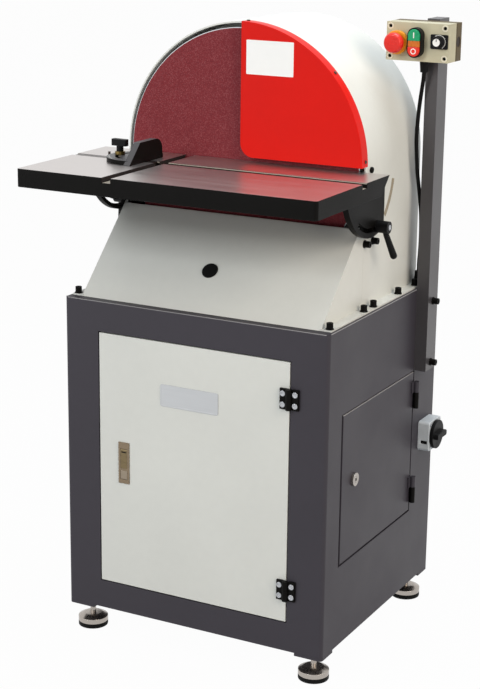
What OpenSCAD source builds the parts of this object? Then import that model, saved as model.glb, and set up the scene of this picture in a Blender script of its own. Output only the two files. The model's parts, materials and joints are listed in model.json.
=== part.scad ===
// Floor-standing disc sander: sheet-steel cabinet, drum housing with a red disc guard,
// direct-drive motor, tilting cast table with a mitre gauge, and a control box on a post.
// Millimetres. X to the operator's right, Y to the rear, Z up. The origin is on the floor,
// in the middle of the four feet.

/* [Cabinet] */
// Width of the cabinet
cab_w = 586; // [520:1:700]
// Depth of the cabinet
cab_d = 538; // [500:1:640]
// Height of the cabinet from its underside to the top of its deck
cab_h = 655; // [610:1:760]
// Height of the cabinet's underside above the floor
cab_lift = 62; // [54:1:90]
// Thickness of the cabinet sheet
sheet = 2; // [1.5:0.5:3]
// Outside radius of the folded corners
bend_r = 8; // [5:1:16]
// Thickness of the deck plate on top of the cabinet
deck_t = 3; // [2:1:6]

/* [Feet] */
// Diameter of a levelling foot
foot_d = 62; // [44:1:66]
// Height of the rubber pad
foot_pad_h = 10; // [6:1:14]
// Height of the plated foot above its pad
foot_body_h = 17; // [12:1:20]
// Diameter of the foot's stud
foot_stud_d = 12; // [10:1:20]
// Distance from the cabinet's side to the foot's axis
foot_in_x = 34; // [30:1:60]
// Distance from the cabinet's front or back to the foot's axis
foot_in_y = 37; // [30:1:60]

/* [Front door] */
// Width of the front door
door_w = 425; // [360:1:470]
// Height of the door's lower edge above the cabinet's underside
door_rise = 62; // [30:1:80]
// Distance from the deck's top down to the door's upper edge
door_head = 64; // [50:1:110]
// Gap round a door
door_gap = 2.5; // [1.5:0.5:4]
// Depth of the folded edges of the doors and of the doorways
door_fold = 12; // [8:1:18]
// Width of the door latch
latch_w = 25; // [20:1:32]
// Height of the door latch
latch_h = 87; // [70:1:110]
// Height of a block hinge
hinge_h = 41; // [30:1:60]
// Width of a block hinge with both leaves
hinge_w = 40; // [34:1:60]

/* [Side hatch] */
// Length of the side hatch along the cabinet
hatch_l = 346; // [280:1:370]
// Distance from the cabinet's front to the hatch
hatch_setback = 72; // [50:1:75]
// Height of the hatch's lower edge above the cabinet's underside
hatch_rise = 171; // [120:1:200]
// Distance from the deck's top down to the hatch's upper edge
hatch_head = 176; // [175:1:240]
// Height of a barrel hinge
barrel_h = 58; // [40:1:70]
// Diameter of a barrel hinge
barrel_d = 12; // [10:1:14]
// Diameter of the cam lock's collar
lock_d = 27; // [20:1:30]

/* [Disc] */
// Diameter of the sanding disc
disc_d = 508; // [400:1:520]
// Thickness of the disc plate
disc_t = 12; // [8:1:20]
// Thickness of the abrasive sheet
abrasive_t = 1.2; // [0.8:0.1:2]
// Width of the plate's bare edge round the abrasive sheet
abrasive_in = 1.5; // [0.5:0.5:3]
// Height of the disc's axis above the deck
disc_rise = 278; // [270:1:330]
// Distance from the cabinet's front to the abrasive face
disc_setback = 198; // [170:1:230]

/* [Drum and hopper] */
// Radial gap between the disc and the drum
drum_gap = 8; // [5:1:16]
// Sheet thickness of the drum and the hopper
drum_wall = 3; // [2:0.5:4]
// Distance from the abrasive face back to the drum's front edge
drum_lag = 5; // [2:1:12]
// Depth of the drum
drum_depth = 272; // [266:1:300]
// Width of the flanges that bolt the drum and the hopper down
flange_w = 22; // [20:1:24]
// Thickness of those flanges
flange_t = 3; // [2:0.5:5]
// Distance from the cabinet's front to the hopper's lower edge
hopper_setback = 20; // [10:1:40]
// Height of the sloping hopper plate
hopper_h = 163; // [120:1:170]
// Diameter of the plug in the hopper plate
plug_d = 33; // [24:1:44]
// Outside diameter of the dust outlet
dust_d = 100; // [80:1:120]
// Wall of the dust outlet and its duct
dust_wall = 2; // [1.5:0.5:4]
// Length of the dust outlet behind the drum
dust_l = 50; // [40:1:60]

/* [Disc guard] */
// Distance from the guard's front to the abrasive face
guard_reach = 18; // [16:1:24]
// Sheet thickness of the guard
guard_t = 2.5; // [1.5:0.5:3]
// Depth of the guard's rim
guard_wrap = 27; // [25:1:40]
// Distance from the disc's axis to the guard's upright edge
guard_left = 4; // [0:1:40]
// Height of the guard above the table
guard_clear = 9; // [5:1:30]
// Radius of the guard's lower corner
guard_corner = 28; // [10:1:60]

/* [Table] */
// Width of the table
table_w = 637; // [620:1:680]
// Depth of the table
table_d = 316; // [300:1:340]
// Thickness of the table plate
table_t = 16; // [14:1:20]
// Height of the table's apron, with the plate
apron_h = 35.5; // [30:0.5:42]
// Thickness of the apron
apron_t = 12; // [8:1:16]
// Gap between the table and the abrasive face
table_gap = 2; // [1:0.5:3]
// Depth of the table top below the disc's axis
table_drop = 5; // [0:1:20]
// Width of the mitre slots
slot_w = 19; // [16:0.5:20]
// Depth of the mitre slots
slot_h = 9.5; // [7:0.5:11]
// Distance from the table's rear edge to the middle of the long slot
slot_in = 114; // [104:1:130]
// Distance from the table's left edge to the middle of the cross slot
cross_in = 201.5; // [190:0.5:215]

/* [Trunnions] */
// Radius of the quadrants about the tilt axis
quad_r = 125; // [120:1:132]
// Thickness of a quadrant
quad_t = 12; // [8:1:14]
// Radius of the middle of the arc slot
arc_r = 110; // [106:1:112]
// Width of the arc slot
arc_w = 13; // [11:0.5:14]
// Largest tilt of the table, front edge down
tilt_max = 45; // [30:1:45]
// Diameter of a clamp stud
stud_d = 8; // [6:1:8]
// Length of a clamp lever from its stud
lever_l = 72; // [50:1:76]

/* [Mitre gauge] */
// Length of the gauge's bar
bar_l = 180; // [150:1:200]
// Radius of the protractor
protractor_r = 62; // [56:1:70]
// Thickness of the protractor
protractor_t = 8; // [6:1:12]
// Height of the fence
fence_h = 40; // [30:1:60]
// Length of the fence in front of its pivot
fence_front = 68; // [50:1:90]
// Length of the fence behind its pivot
fence_rear = 56; // [45:1:70]
// Thickness of the fence
fence_t = 14; // [8:1:15]
// Radius of the arc that the knob's stud runs in
lock_r = 42; // [36:1:46]

/* [Post and control box] */
// Width of the post, across the machine
post_w = 26; // [20:1:30]
// Depth of the post
post_d = 50; // [30:1:56]
// Wall of the post
post_wall = 2; // [1.5:0.5:4]
// Distance from the cabinet's front to the post
post_setback = 417; // [414:1:430]
// Distance from the deck's top down to the post's lower end
post_drop = 173; // [165:1:174]
// Height of the post's top above the deck
post_top = 549; // [540:1:560]
// Width of the control box
box_w = 130; // [126:1:160]
// Depth of the control box
box_d = 67; // [62:1:76]
// Height of the control box
box_h = 74; // [70:1:90]
// Wall of the control box
box_wall = 3; // [2:0.5:4]
// Diameter of the emergency-stop mushroom
estop_d = 40; // [32:1:44]
// Width of the push-button bezel
bezel_w = 30; // [28:1:34]
// Height of the push-button bezel
bezel_h = 58; // [52:1:64]
// Diameter of the speed knob
speed_d = 24; // [16:1:26]
// Diameter of the control cable
cable_d = 8; // [6:1:8]

/* [Isolator] */
// Side of the isolator's square base
iso_w = 64; // [54:1:68]
// Depth of the isolator's base
iso_t = 26; // [14:1:30]
// Diameter of the isolator's knob
iso_knob_d = 62; // [50:1:63]
// Distance from the cabinet's front to the isolator's axis
iso_setback = 484; // [476:1:490]
// Height of the isolator's axis above the cabinet's underside
iso_rise = 328; // [200:1:420]

/* [Motor] */
// Height of the motor's shaft above its feet
shaft_h = 100; // [98:1:110]
// Diameter of the motor over its fins
motor_d = 190; // [184:1:194]
// Length of the motor's finned frame
motor_l = 140; // [120:1:141]
// Diameter of the rotor core
rotor_d = 123; // [100:1:130]
// Diameter of the shaft in its bearings
journal_d = 40; // [30:1:45]
// Outside diameter of the bearings
bearing_d = 80; // [70:1:90]

/* [Hidden] */
$fn = 72;
// Overrun of cuts
cut = 1;
// Gap between bodies that move past each other
air = 0.3;
// Radial clearance of a running fit
running = 0.05;
// Clearance of a fixed fit
snug = 0.02;
// Clearance of a screw or stud in its hole
hole_gap = 0.3;
// Distance from the post's middle to the control box's middle
box_shift = 5.5;
// Distance from the post's top to the control box's top
box_under = 3.5;

// Main planes
side_x = cab_w / 2;
front_y = -cab_d / 2;
back_y = cab_d / 2;
cab_z0 = cab_lift;
cab_z1 = cab_lift + cab_h;
shell_z1 = cab_z1 - deck_t;
disc_y = front_y + disc_setback;
disc_z = cab_z1 + disc_rise;
drum_r = disc_d / 2 + drum_gap + drum_wall;
drum_in = drum_r - drum_wall;
drum_y0 = disc_y + drum_lag;
drum_y1 = drum_y0 + drum_depth;
drum_back = drum_y1 - drum_wall;
flange_x = drum_r + flange_w;
flange_z = cab_z1 + flange_t;
table_x = table_w / 2;
table_y1 = disc_y - table_gap;
table_y0 = table_y1 - table_d;
table_z1 = disc_z - table_drop;
table_z0 = table_z1 - apron_h;
plate_z0 = table_z1 - table_t;
slot_y = table_y1 - slot_in;
slot_z = table_z1 - slot_h;
cross_x = cross_in - table_x;
post_y = front_y + post_setback;
post_z = cab_z1 - post_drop;
box_cx = side_x + post_w / 2 - box_shift;
box_y = post_y - box_d;
box_z1 = cab_z1 + post_top - box_under;
box_z0 = box_z1 - box_h;
box_mid = box_z0 + box_h / 2;

// Small sizes of the cabinet
corner_x = 60;
corner_y = 50;
corner_t = 6;
rear_frame = 30;
foot_nut_d = 20;
foot_nut_h = 12;
foot_stud_up = 16;
foot_neck_h = 7;
foot_neck_d = 34;
louvre_rows = 9;
louvre_l = 120;
louvre_h = 5;
louvre_pitch = 16;
louvre_rise = 380;
louvre_x = 90;

// Small sizes of the doors
hinge_low = 47;
hinge_top_in = 51;
hinge_t = 5;
pin_d = 5;
knuckle_d = 12;
knuckle_gap = 0.5;
pin_out = knuckle_d / 2 + knuckle_gap;
latch_in = 44;
latch_rise = 221;
latch_rim = 2;
latch_depth = 14;
latch_wall = 2.5;
paddle_h = 41;
paddle_t = 4;
paddle_pin_d = 2.5;
paddle_barrel_d = 5;
paddle_top = 14;
button_h = 18;
button_t = 8;
button_gap = 5;
button_stroke = 3;
barrel_low = 19;
barrel_top_in = 21;
barrel_split_share = 0.6;
hatch_free = 7;
barrel_leaf = 14;
lock_in = 54;
lock_drop = 145;
lock_rim = 6;
lock_barrel_d = 18;
lock_depth = door_fold;
lock_plug_d = 12;
cam_w = 14;
cam_t = 3;
cam_over = 10;

// Small sizes of the drum, the hopper and the guard
bulkhead_in = 59;
bulkhead_hole_d = 60;
plug_rise = 68;
plug_x = -10;
plug_rim = 3;
plug_neck = 6;
dust_rise = 73;
dust_plate = 140;
dust_plate_t = 3;
screw_d = 8;
screw_head_d = 13;
screw_head_h = 13;
screw_flange_d = 16;
screw_flange_t = 2;
screw_grip = 6;
screw_in = 8;
hopper_screw_ys = [29, 183];
drum_screw_ys = [228, 351, 438];
brace_screw_ys = [207, 245];
brace_screw_drop = 142;
post_screw_rises = [16, 147];

// Small sizes of the motor and the disc
hub_d = 110;
hub_l = 22;
hub_bore_d = 38;
hub_floor = 3;
shield_t = 14;
shield_d = 182;
fin_count = 30;
fin_t = 3;
fin_h = 8;
motor_foot_w = 35;
motor_foot_h = 40;
motor_gap = 6;
motor_in = bulkhead_in + drum_wall + motor_gap;
fan_d = 150;
fan_t = 12;
fan_hub_d = 50;
fan_gap = 6;
fan_blade_t = 4;
fan_blades = 8;
tail_d = 25;
cowl_t = 2;
cowl_l = 42;
cowl_slots = 10;
cowl_slot_w = 8;
cowl_slot_shares = [0.28, 0.82];
pedestal_t = 8;
pedestal_w = 184;
pedestal_top_t = 12;
pedestal_foot = 30;

// Small sizes of the table, the trunnions and the gauge
rib_t = 10;
rib_h = 14;
rib_x = 150;
rib_in = 62;
arc_angle = -77;
key_half = 9;
stud_swing = 2.5;
slot_slack = 1;
key_t = 9;
bracket_t = 8;
bracket_lip = 4;
bracket_in = 30;
brace_w = 60;
brace_h = 76;
quad_rear = 56;
quad_foot_w = 28;
quad_foot_t = 8;
quad_foot_ys = [-105, -45];
hub_lever_d = 24;
hub_lever_l = 25;
lever_angle = -69;
lever_splay = 12;
lever_root_d = 10;
lever_tip_d = 14;
bar_in = 6.5;
pivot_in = 38;
bar_air = 0.1;
gauge_lift = 0.5;
pivot_d = 10;
fence_slope = 40;
fence_round = 24;
fence_shift = 22;
gauge_pin_d = 5;
gauge_pin_h = 12;
lock_stud_d = 6;
gauge_turn = 60;
knob_foot_d = 20;
knob_foot_h = 6;
knob_neck_d = 14;
knob_neck_h = 11;
knob_bar_l = 34;
knob_bar_w = 13;
knob_bar_h = 13;
knob_round = 3;

// Small sizes of the control box, the cable and the isolator
lid_t = 38;
lid_seam = 2;
estop_x = -41;
estop_drop = 2;
estop_collar_d = 46;
estop_collar_t = 10;
estop_neck = 6;
estop_cap_h = 14;
estop_stem_d = 16;
estop_stem_in = 18;
bezel_t = 17;
bezel_rim = 2.5;
bezel_floor = 2;
push_out = 3;
push_room = 4;
lens_top = 4;
lens_low = -8;
speed_x = 46;
speed_lift = 3;
speed_plate_w = 36;
speed_plate_h = 28;
speed_plate_t = 2.5;
speed_shaft_d = 6;
speed_shaft_l = 10;
speed_knob_l = 14;
speed_cap = 3;
gland_d = 20;
gland_nut_h = 8;
gland_dome_h = 18;
gland_dome_d = 15;
gland_step = 2;
gland_y = 50;
gland_x = -4;
entry_x = 277;
entry_y = 192;
iso_corner = 6;
iso_knob_t = 8;
iso_bar_w = 12;
iso_bar_l = 50;
iso_bar_h = 10;
iso_bar_round = 4;
iso_shaft_d = 8;
iso_shaft_l = 14;
panel_x = 130;
panel_y = [-200, 150];
panel_head = 110;
panel_t = 2;
panel_foot = 20;
inverter_w = 130;
inverter_h = 220;
inverter_d = 125;
inverter_rise = 230;
inverter_y = -95;
inverter_groove = 3;
inverter_grooves = 9;
inverter_fin_shares = [0.25, 0.5];

// Route of the control cable, from the box gland down to the deck gland
cable_route = [
    [296.5, 131, 1162.5], [296, 131, 1150], [293, 134, 1134], [288, 138, 1106],
    [285, 139, 1079], [283, 140, 1051], [282.5, 140, 1023], [283, 143, 995],
    [283, 150, 959], [283, 160, 929], [282, 172, 900], [281, 182, 870],
    [280, 188, 840], [279, 191, 810], [278, 192, 785], [277, 192, 765],
    [277, 192, 746]
];
cable_sides = 10;

// Paint and metal colours
cabinet_grey = [0.29, 0.29, 0.32];
machine_white = [0.83, 0.83, 0.81];
guard_red = [0.86, 0.12, 0.09];
ground_steel = [0.72, 0.71, 0.69];
black_iron = [0.11, 0.1, 0.1];
zinc = [0.62, 0.62, 0.64];
bronze = [0.5, 0.45, 0.38];
box_beige = [0.76, 0.74, 0.64];

// Range moved along its axis
function shift(a, range) = [a + range[0], a + range[1]];

// Shapes on ranges: each range is a [low, high] pair along its axis
module block(x, y, z) {
    translate([x[0], y[0], z[0]])
        cube([x[1] - x[0], y[1] - y[0], z[1] - z[0]]);
}

module rod_x(d, x, y, z) {
    translate([x[0], y, z])
        rotate([0, 90, 0])
            cylinder(d = d, h = x[1] - x[0]);
}

module rod_y(d, x, y, z) {
    translate([x, y[1], z])
        rotate([90, 0, 0])
            cylinder(d = d, h = y[1] - y[0]);
}

module rod_z(d, x, y, z) {
    translate([x, y, z[0]])
        cylinder(d = d, h = z[1] - z[0]);
}

// A flat shape drawn in X and Z, extruded along a range in Y
module along_y(y) {
    translate([0, y[1], 0])
        rotate([90, 0, 0])
            linear_extrude(y[1] - y[0])
                children();
}

// A flat shape drawn in Y and Z, extruded along a range in X
module along_x(x) {
    translate([x[0], 0, 0])
        rotate([90, 0, 90])
            linear_extrude(x[1] - x[0])
                children();
}

// Rectangle with round corners, centred
module round_rect(w, h, r) {
    square([w - 2 * r, h], center = true);
    square([w, h - 2 * r], center = true);
    for (sx = [-1, 1], sy = [-1, 1])
        translate([sx * (w / 2 - r), sy * (h / 2 - r)])
            circle(r);
}

// Pie slice from one angle to another, out past a radius
module pie(a0, a1, r) {
    am = (a0 + a1) / 2;
    polygon([
        [0, 0],
        2 * r * [cos(a0), sin(a0)],
        2 * r * [cos(am), sin(am)],
        2 * r * [cos(a1), sin(a1)]
    ]);
}

// Part of a ring between two angles
module ring_arc(r0, r1, a0, a1) {
    intersection() {
        difference() {
            circle(r1);
            circle(r0);
        }
        pie(a0, a1, r1);
    }
}

// Outline of the drum: round above the axis, straight down to the deck
module arch(r) {
    translate([0, disc_z])
        circle(r);
    translate([-r, cab_z1])
        square([2 * r, disc_z - cab_z1]);
}

// Copies a part to the other side of the machine
module both_sides() {
    children();
    mirror([1, 0, 0])
        children();
}

// Cabinet

door_z = [cab_z0 + door_rise, cab_z1 - door_head];
door_x = [-door_w / 2, door_w / 2];
hatch_y = [front_y + hatch_setback, front_y + hatch_setback + hatch_l];
hatch_z = [cab_z0 + hatch_rise, cab_z1 - hatch_head];
grow = [-1, 1];
doorway_x = door_x + door_gap * grow;
doorway_z = door_z + door_gap * grow;
hatchway_y = [hatch_y[0] - hatch_free, hatch_y[1] + door_gap];
hatchway_z = hatch_z + door_gap * grow;
foot_x = side_x - foot_in_x;
foot_y = back_y - foot_in_y;

module at_feet() {
    for (sx = [-1, 1], sy = [-1, 1])
        translate([sx * foot_x, sy * foot_y, 0])
            children();
}

module cabinet_shell() {
    inner_w = cab_w - 2 * sheet;
    inner_d = cab_d - 2 * sheet;
    color(cabinet_grey)
        difference() {
            union() {
                translate([0, 0, cab_z0])
                    linear_extrude(shell_z1 - cab_z0)
                        difference() {
                            round_rect(cab_w, cab_d, bend_r);
                            round_rect(inner_w, inner_d, bend_r - sheet);
                        }
                block(doorway_x + sheet * grow, [front_y, front_y + door_fold], doorway_z + sheet * grow);
                block([side_x - door_fold, side_x], hatchway_y + sheet * grow, hatchway_z + sheet * grow);
            }
            block(doorway_x, [front_y - cut, front_y + door_fold + cut], doorway_z);
            block([side_x - door_fold - cut, side_x + cut], hatchway_y, hatchway_z);
            block(
                (side_x - rear_frame) * grow,
                [back_y - sheet - cut, back_y + cut],
                [cab_z0 + rear_frame, shell_z1 - rear_frame]
            );
            for (rise = post_screw_rises)
                rod_x(screw_d + 2 * hole_gap, [side_x - sheet - cut, side_x + cut],
                    post_y + post_d / 2, post_z + rise);
        }
}

module cabinet_back() {
    plate_x = (side_x - bend_r) * grow;
    plate_y = [back_y - 2 * sheet, back_y - sheet];
    color(cabinet_grey)
        difference() {
            block(plate_x, plate_y, [cab_z0 + sheet, shell_z1]);
            for (sx = [-1, 1], i = [0:louvre_rows - 1])
                block(
                    shift(sx * louvre_x, louvre_l / 2 * grow),
                    plate_y + cut * grow,
                    shift(cab_z0 + louvre_rise + i * louvre_pitch, louvre_h / 2 * grow)
                );
        }
}

module cabinet_deck() {
    color(cabinet_grey)
        difference() {
            translate([0, 0, shell_z1])
                linear_extrude(deck_t)
                    round_rect(cab_w, cab_d, bend_r);
            flange_screw_holes();
            translate([entry_x, entry_y, 0])
                rod_z(cable_d + 2 * hole_gap, 0, 0, [shell_z1 - cut, cab_z1 + cut]);
        }
}

module cabinet_floor() {
    pan_w = cab_w - 2 * sheet - 2 * air;
    pan_d = cab_d - 2 * sheet - 2 * air;
    color(cabinet_grey)
        difference() {
            union() {
                translate([0, 0, cab_z0])
                    linear_extrude(sheet)
                        round_rect(pan_w, pan_d, bend_r - sheet);
                translate([0, 0, cab_z0 - corner_t])
                    linear_extrude(corner_t)
                        intersection() {
                            round_rect(cab_w, cab_d, bend_r);
                            for (sx = [-1, 1], sy = [-1, 1])
                                translate([sx * (side_x - corner_x / 2), sy * (back_y - corner_y / 2)])
                                    square([corner_x, corner_y], center = true);
                        }
            }
            at_feet()
                rod_z(foot_stud_d + 2 * hole_gap, 0, 0, [cab_z0 - corner_t - cut, cab_z0 + sheet + cut]);
        }
}

module foot_bodies() {
    foot_top = foot_pad_h + foot_body_h;
    plate_low = cab_z0 - corner_t;
    color(zinc)
        at_feet() {
            rod_z(foot_d, 0, 0, [foot_pad_h, foot_top - foot_neck_h]);
            translate([0, 0, foot_top - foot_neck_h])
                cylinder(d1 = foot_d, d2 = foot_neck_d, h = foot_neck_h);
            rod_z(foot_stud_d, 0, 0, [foot_top - foot_neck_h, cab_z0 + sheet + foot_stud_up]);
            translate([0, 0, plate_low - foot_nut_h])
                cylinder(d = foot_nut_d, h = foot_nut_h, $fn = 6);
        }
}

module foot_pads() {
    color([0.08, 0.08, 0.08])
        at_feet()
            rod_z(foot_d, 0, 0, [0, foot_pad_h]);
}

// Hopper and drum

hopper_y = front_y + hopper_setback;
screw_x = drum_r + flange_w - screw_in;

// Places of the screws that hold both flanges down
module at_flange_screws() {
    for (s = concat(hopper_screw_ys, drum_screw_ys), sx = [-1, 1])
        translate([sx * screw_x, front_y + s, 0])
            children();
}

module flange_screw_holes() {
    at_flange_screws()
        rod_z(screw_d + 2 * hole_gap, 0, 0, [shell_z1 - cut, flange_z + cut]);
}

// Line of the hopper's slope, at a height above the deck
function slope_y(h) = hopper_y + h;

module hopper() {
    run = drum_y0 - hopper_y;
    plate_run = drum_wall * sqrt(2);
    color(machine_white)
        difference() {
            union() {
                along_x(drum_r * grow)
                    polygon([
                        [hopper_y, cab_z1],
                        [hopper_y + plate_run, cab_z1],
                        [slope_y(hopper_h) + plate_run, cab_z1 + hopper_h],
                        [slope_y(hopper_h), cab_z1 + hopper_h]
                    ]);
                both_sides() {
                    along_x([drum_in, drum_r])
                        polygon([[hopper_y, cab_z1], [drum_y0, cab_z1], [drum_y0, cab_z1 + run]]);
                    block([drum_in, flange_x], [hopper_y, drum_y0], [cab_z1, flange_z]);
                }
            }
            flange_screw_holes();
            at_plug()
                translate([0, 0, -drum_wall - cut])
                    cylinder(d = plug_d - 2 * plug_rim, h = drum_wall + 2 * cut);
        }
}

// On the hopper's sloping face, with Z square to it
module at_plug() {
    translate([plug_x, slope_y(plug_rise), cab_z1 + plug_rise])
        rotate([45, 0, 0])
            children();
}

module hopper_plug() {
    color(black_iron)
        at_plug() {
            cylinder(d = plug_d, h = plug_rim);
            translate([0, 0, -plug_neck])
                cylinder(d = plug_d - 2 * plug_rim - 2 * snug, h = plug_neck);
        }
}

dust_z = cab_z1 + dust_rise;
dust_bore = dust_d - 2 * dust_wall;

module drum_housing() {
    color(machine_white)
        difference() {
            union() {
                along_y([drum_y0, drum_y1])
                    difference() {
                        arch(drum_r);
                        arch(drum_in);
                        translate([-drum_in, cab_z1 - cut])
                            square([2 * drum_in, 2 * cut]);
                    }
                along_y([drum_back, drum_y1])
                    arch(drum_r);
                both_sides()
                    block([drum_in, flange_x], [drum_y0, drum_y1], [cab_z1, flange_z]);
                block(drum_r * grow, [drum_back, drum_y1 + flange_w], [cab_z1, flange_z]);
            }
            flange_screw_holes();
            rod_y(dust_bore, 0, [drum_back - cut, drum_y1 + cut], dust_z);
            both_sides() {
                rod_x(stud_d + 2 * hole_gap, [drum_in - cut, drum_r + cut], stud_y, stud_z);
                at_brace_screws()
                    rod_x(screw_d + 2 * hole_gap, [drum_in - cut, drum_r + cut], 0, 0);
            }
            rod_z(cable_d + 2 * hole_gap, entry_x, entry_y, [cab_z1 - cut, flange_z + cut]);
        }
}

module drum_bulkhead() {
    wall_y = shift(drum_y0 + bulkhead_in, [0, drum_wall]);
    color(machine_white)
        difference() {
            along_y(wall_y)
                intersection() {
                    arch(drum_in - air);
                    translate([-drum_r, cab_z1])
                        square([2 * drum_r, 2 * disc_rise]);
                }
            rod_y(bulkhead_hole_d, 0, wall_y + cut * grow, disc_z);
            rod_y(dust_bore, 0, wall_y + cut * grow, dust_z);
        }
}

module disc_guard() {
    rim_in = drum_r + air;
    rim_out = rim_in + guard_t;
    guard_y = disc_y - guard_reach;
    low = table_drop - guard_clear;
    color(guard_red)
        translate([0, 0, disc_z]) {
            along_y([guard_y, guard_y + guard_t])
                intersection() {
                    circle(rim_out);
                    guard_window(guard_left, -low, rim_out);
                }
            along_y([guard_y, guard_y + guard_wrap])
                intersection() {
                    difference() {
                        circle(rim_out);
                        circle(rim_in);
                    }
                    guard_window(guard_left, -low, rim_out);
                }
        }
}

// Quarter of the plane right of the upright edge and above the lower edge, with a round corner
module guard_window(left, low, reach) {
    translate([left, low]) {
        translate([guard_corner, 0])
            square([reach, reach]);
        translate([0, guard_corner])
            square([reach, reach]);
        translate([guard_corner, guard_corner])
            circle(guard_corner);
    }
}

module at_brace_screws() {
    for (s = brace_screw_ys)
        translate([0, front_y + s, table_z1 - brace_screw_drop])
            children();
}

// Flanged socket-head screw standing on its seat at zero, head along +Z
module cap_screw(grip) {
    difference() {
        union() {
            cylinder(d = screw_head_d, h = screw_head_h);
            cylinder(d = screw_flange_d, h = screw_flange_t);
        }
        translate([0, 0, screw_head_h / 2])
            cylinder(d = screw_head_d / 2, h = screw_head_h, $fn = 6);
    }
    translate([0, 0, -grip])
        cylinder(d = screw_d, h = grip);
}

module cap_screws() {
    color(black_iron) {
        at_flange_screws()
            translate([0, 0, flange_z])
                cap_screw(flange_t + deck_t + screw_grip);
        both_sides()
            at_brace_screws()
                translate([drum_r, 0, 0])
                    rotate([0, 90, 0])
                        cap_screw(drum_wall + bracket_t);
        for (rise = post_screw_rises)
            translate([side_x + post_w, post_y + post_d / 2, post_z + rise])
                rotate([0, 90, 0])
                    cap_screw(post_w + sheet + screw_grip);
    }
}

module dust_spigot() {
    color(machine_white)
        difference() {
            union() {
                translate([0, 0, dust_z])
                    along_y([drum_y1, drum_y1 + dust_plate_t])
                        round_rect(dust_plate, dust_plate, bend_r);
                rod_y(dust_d, 0, [drum_y1, drum_y1 + dust_plate_t + dust_l], dust_z);
            }
            rod_y(dust_bore, 0, [drum_y1 - cut, drum_y1 + dust_plate_t + dust_l + cut], dust_z);
        }
}

module dust_duct() {
    duct_y = [drum_y0 + bulkhead_in + drum_wall, drum_back];
    color(zinc)
        difference() {
            rod_y(dust_d, 0, duct_y, dust_z);
            rod_y(dust_bore, 0, duct_y + cut * grow, dust_z);
        }
}

// Motor and disc

motor_y0 = drum_y0 + motor_in;
frame_y = shift(motor_y0 + shield_t, [0, motor_l]);
rear_y = frame_y[1] + shield_t;
feet_z = disc_z - shaft_h;
core_d = motor_d - 2 * fin_h;

module motor_pedestal() {
    inner = pedestal_w / 2 - pedestal_t;
    color(black_iron) {
        block((pedestal_w / 2 + pedestal_t) * grow, frame_y, [feet_z - pedestal_top_t, feet_z]);
        both_sides() {
            block([inner, pedestal_w / 2], frame_y, [cab_z1, feet_z - pedestal_top_t]);
            block([inner, pedestal_w / 2 + pedestal_foot], frame_y, [cab_z1, cab_z1 + pedestal_t]);
        }
    }
}

module motor_frame() {
    color([0.35, 0.37, 0.4])
        translate([0, 0, disc_z])
            along_y(frame_y)
                difference() {
                    union() {
                        circle(d = core_d);
                        for (i = [0:fin_count - 1])
                            rotate(i * 360 / fin_count)
                                translate([0, -fin_t / 2])
                                    square([motor_d / 2, fin_t]);
                        for (sx = [-1, 1])
                            translate([sx * (motor_d - motor_foot_w) / 2, motor_foot_h / 2 - shaft_h])
                                square([motor_foot_w, motor_foot_h], center = true);
                    }
                    circle(d = rotor_d + cut);
                }
}

module motor_end_shields() {
    color([0.35, 0.37, 0.4])
        for (y0 = [motor_y0, frame_y[1]])
            difference() {
                rod_y(shield_d, 0, [y0, y0 + shield_t], disc_z);
                rod_y(bearing_d + 2 * snug, 0, [y0 - cut, y0 + shield_t + cut], disc_z);
            }
}

module motor_bearings() {
    color(zinc)
        for (y0 = [motor_y0, frame_y[1]])
            difference() {
                rod_y(bearing_d, 0, [y0, y0 + shield_t], disc_z);
                rod_y(journal_d + 2 * running, 0, [y0 - cut, y0 + shield_t + cut], disc_z);
            }
}

module fan_cowl() {
    end_y = frame_y[1] + cowl_l;
    color([0.35, 0.37, 0.4])
        difference() {
            rod_y(motor_d, 0, [frame_y[1], end_y], disc_z);
            rod_y(motor_d - 2 * cowl_t, 0, [frame_y[1] - cut, end_y - cowl_t], disc_z);
            translate([0, 0, disc_z])
                for (i = [0:cowl_slots - 1])
                    rotate([0, i * 360 / cowl_slots, 0])
                        block(
                            motor_d / 2 * cowl_slot_shares,
                            [end_y - cowl_t - cut, end_y + cut],
                            cowl_slot_w / 2 * grow
                        );
        }
}

module motor_rotor() {
    color(zinc) {
        rod_y(hub_bore_d, 0, [disc_y + abrasive_t + hub_floor, motor_y0], disc_z);
        rod_y(journal_d, 0, [motor_y0, rear_y], disc_z);
        rod_y(rotor_d, 0, frame_y + fan_gap * [1, -1], disc_z);
        rod_y(tail_d, 0, [rear_y, rear_y + fan_gap + fan_t], disc_z);
    }
}

module cooling_fan() {
    fan_y = shift(rear_y + fan_gap, [0, fan_t]);
    color(black_iron)
        difference() {
            union() {
                rod_y(fan_hub_d, 0, fan_y, disc_z);
                rod_y(fan_d, 0, [fan_y[0], fan_y[0] + cowl_t], disc_z);
                translate([0, 0, disc_z])
                    for (i = [0:fan_blades - 1])
                        rotate([0, i * 360 / fan_blades, 0])
                            block([0, fan_d / 2 - cowl_t], fan_y, fan_blade_t / 2 * grow);
            }
            rod_y(tail_d + 2 * snug, 0, fan_y + cut * grow, disc_z);
        }
}

module disc_plate() {
    face_y = disc_y + abrasive_t;
    color(ground_steel)
        difference() {
            union() {
                rod_y(disc_d, 0, [face_y, face_y + disc_t], disc_z);
                rod_y(hub_d, 0, [face_y, face_y + disc_t + hub_l], disc_z);
            }
            rod_y(hub_bore_d + 2 * snug, 0, [face_y + hub_floor, face_y + disc_t + hub_l + cut], disc_z);
        }
}

module abrasive_disc() {
    color([0.5, 0.2, 0.22])
        rod_y(disc_d - 2 * abrasive_in, 0, [disc_y, disc_y + abrasive_t], disc_z);
}

// Table and trunnions

stud_y = table_y1 + arc_r * cos(arc_angle);
stud_z = table_z1 + arc_r * sin(arc_angle);
bracket_x = [drum_r, drum_r + bracket_t];
quad_x = shift(bracket_x[1] + air, [0, quad_t]);

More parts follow.
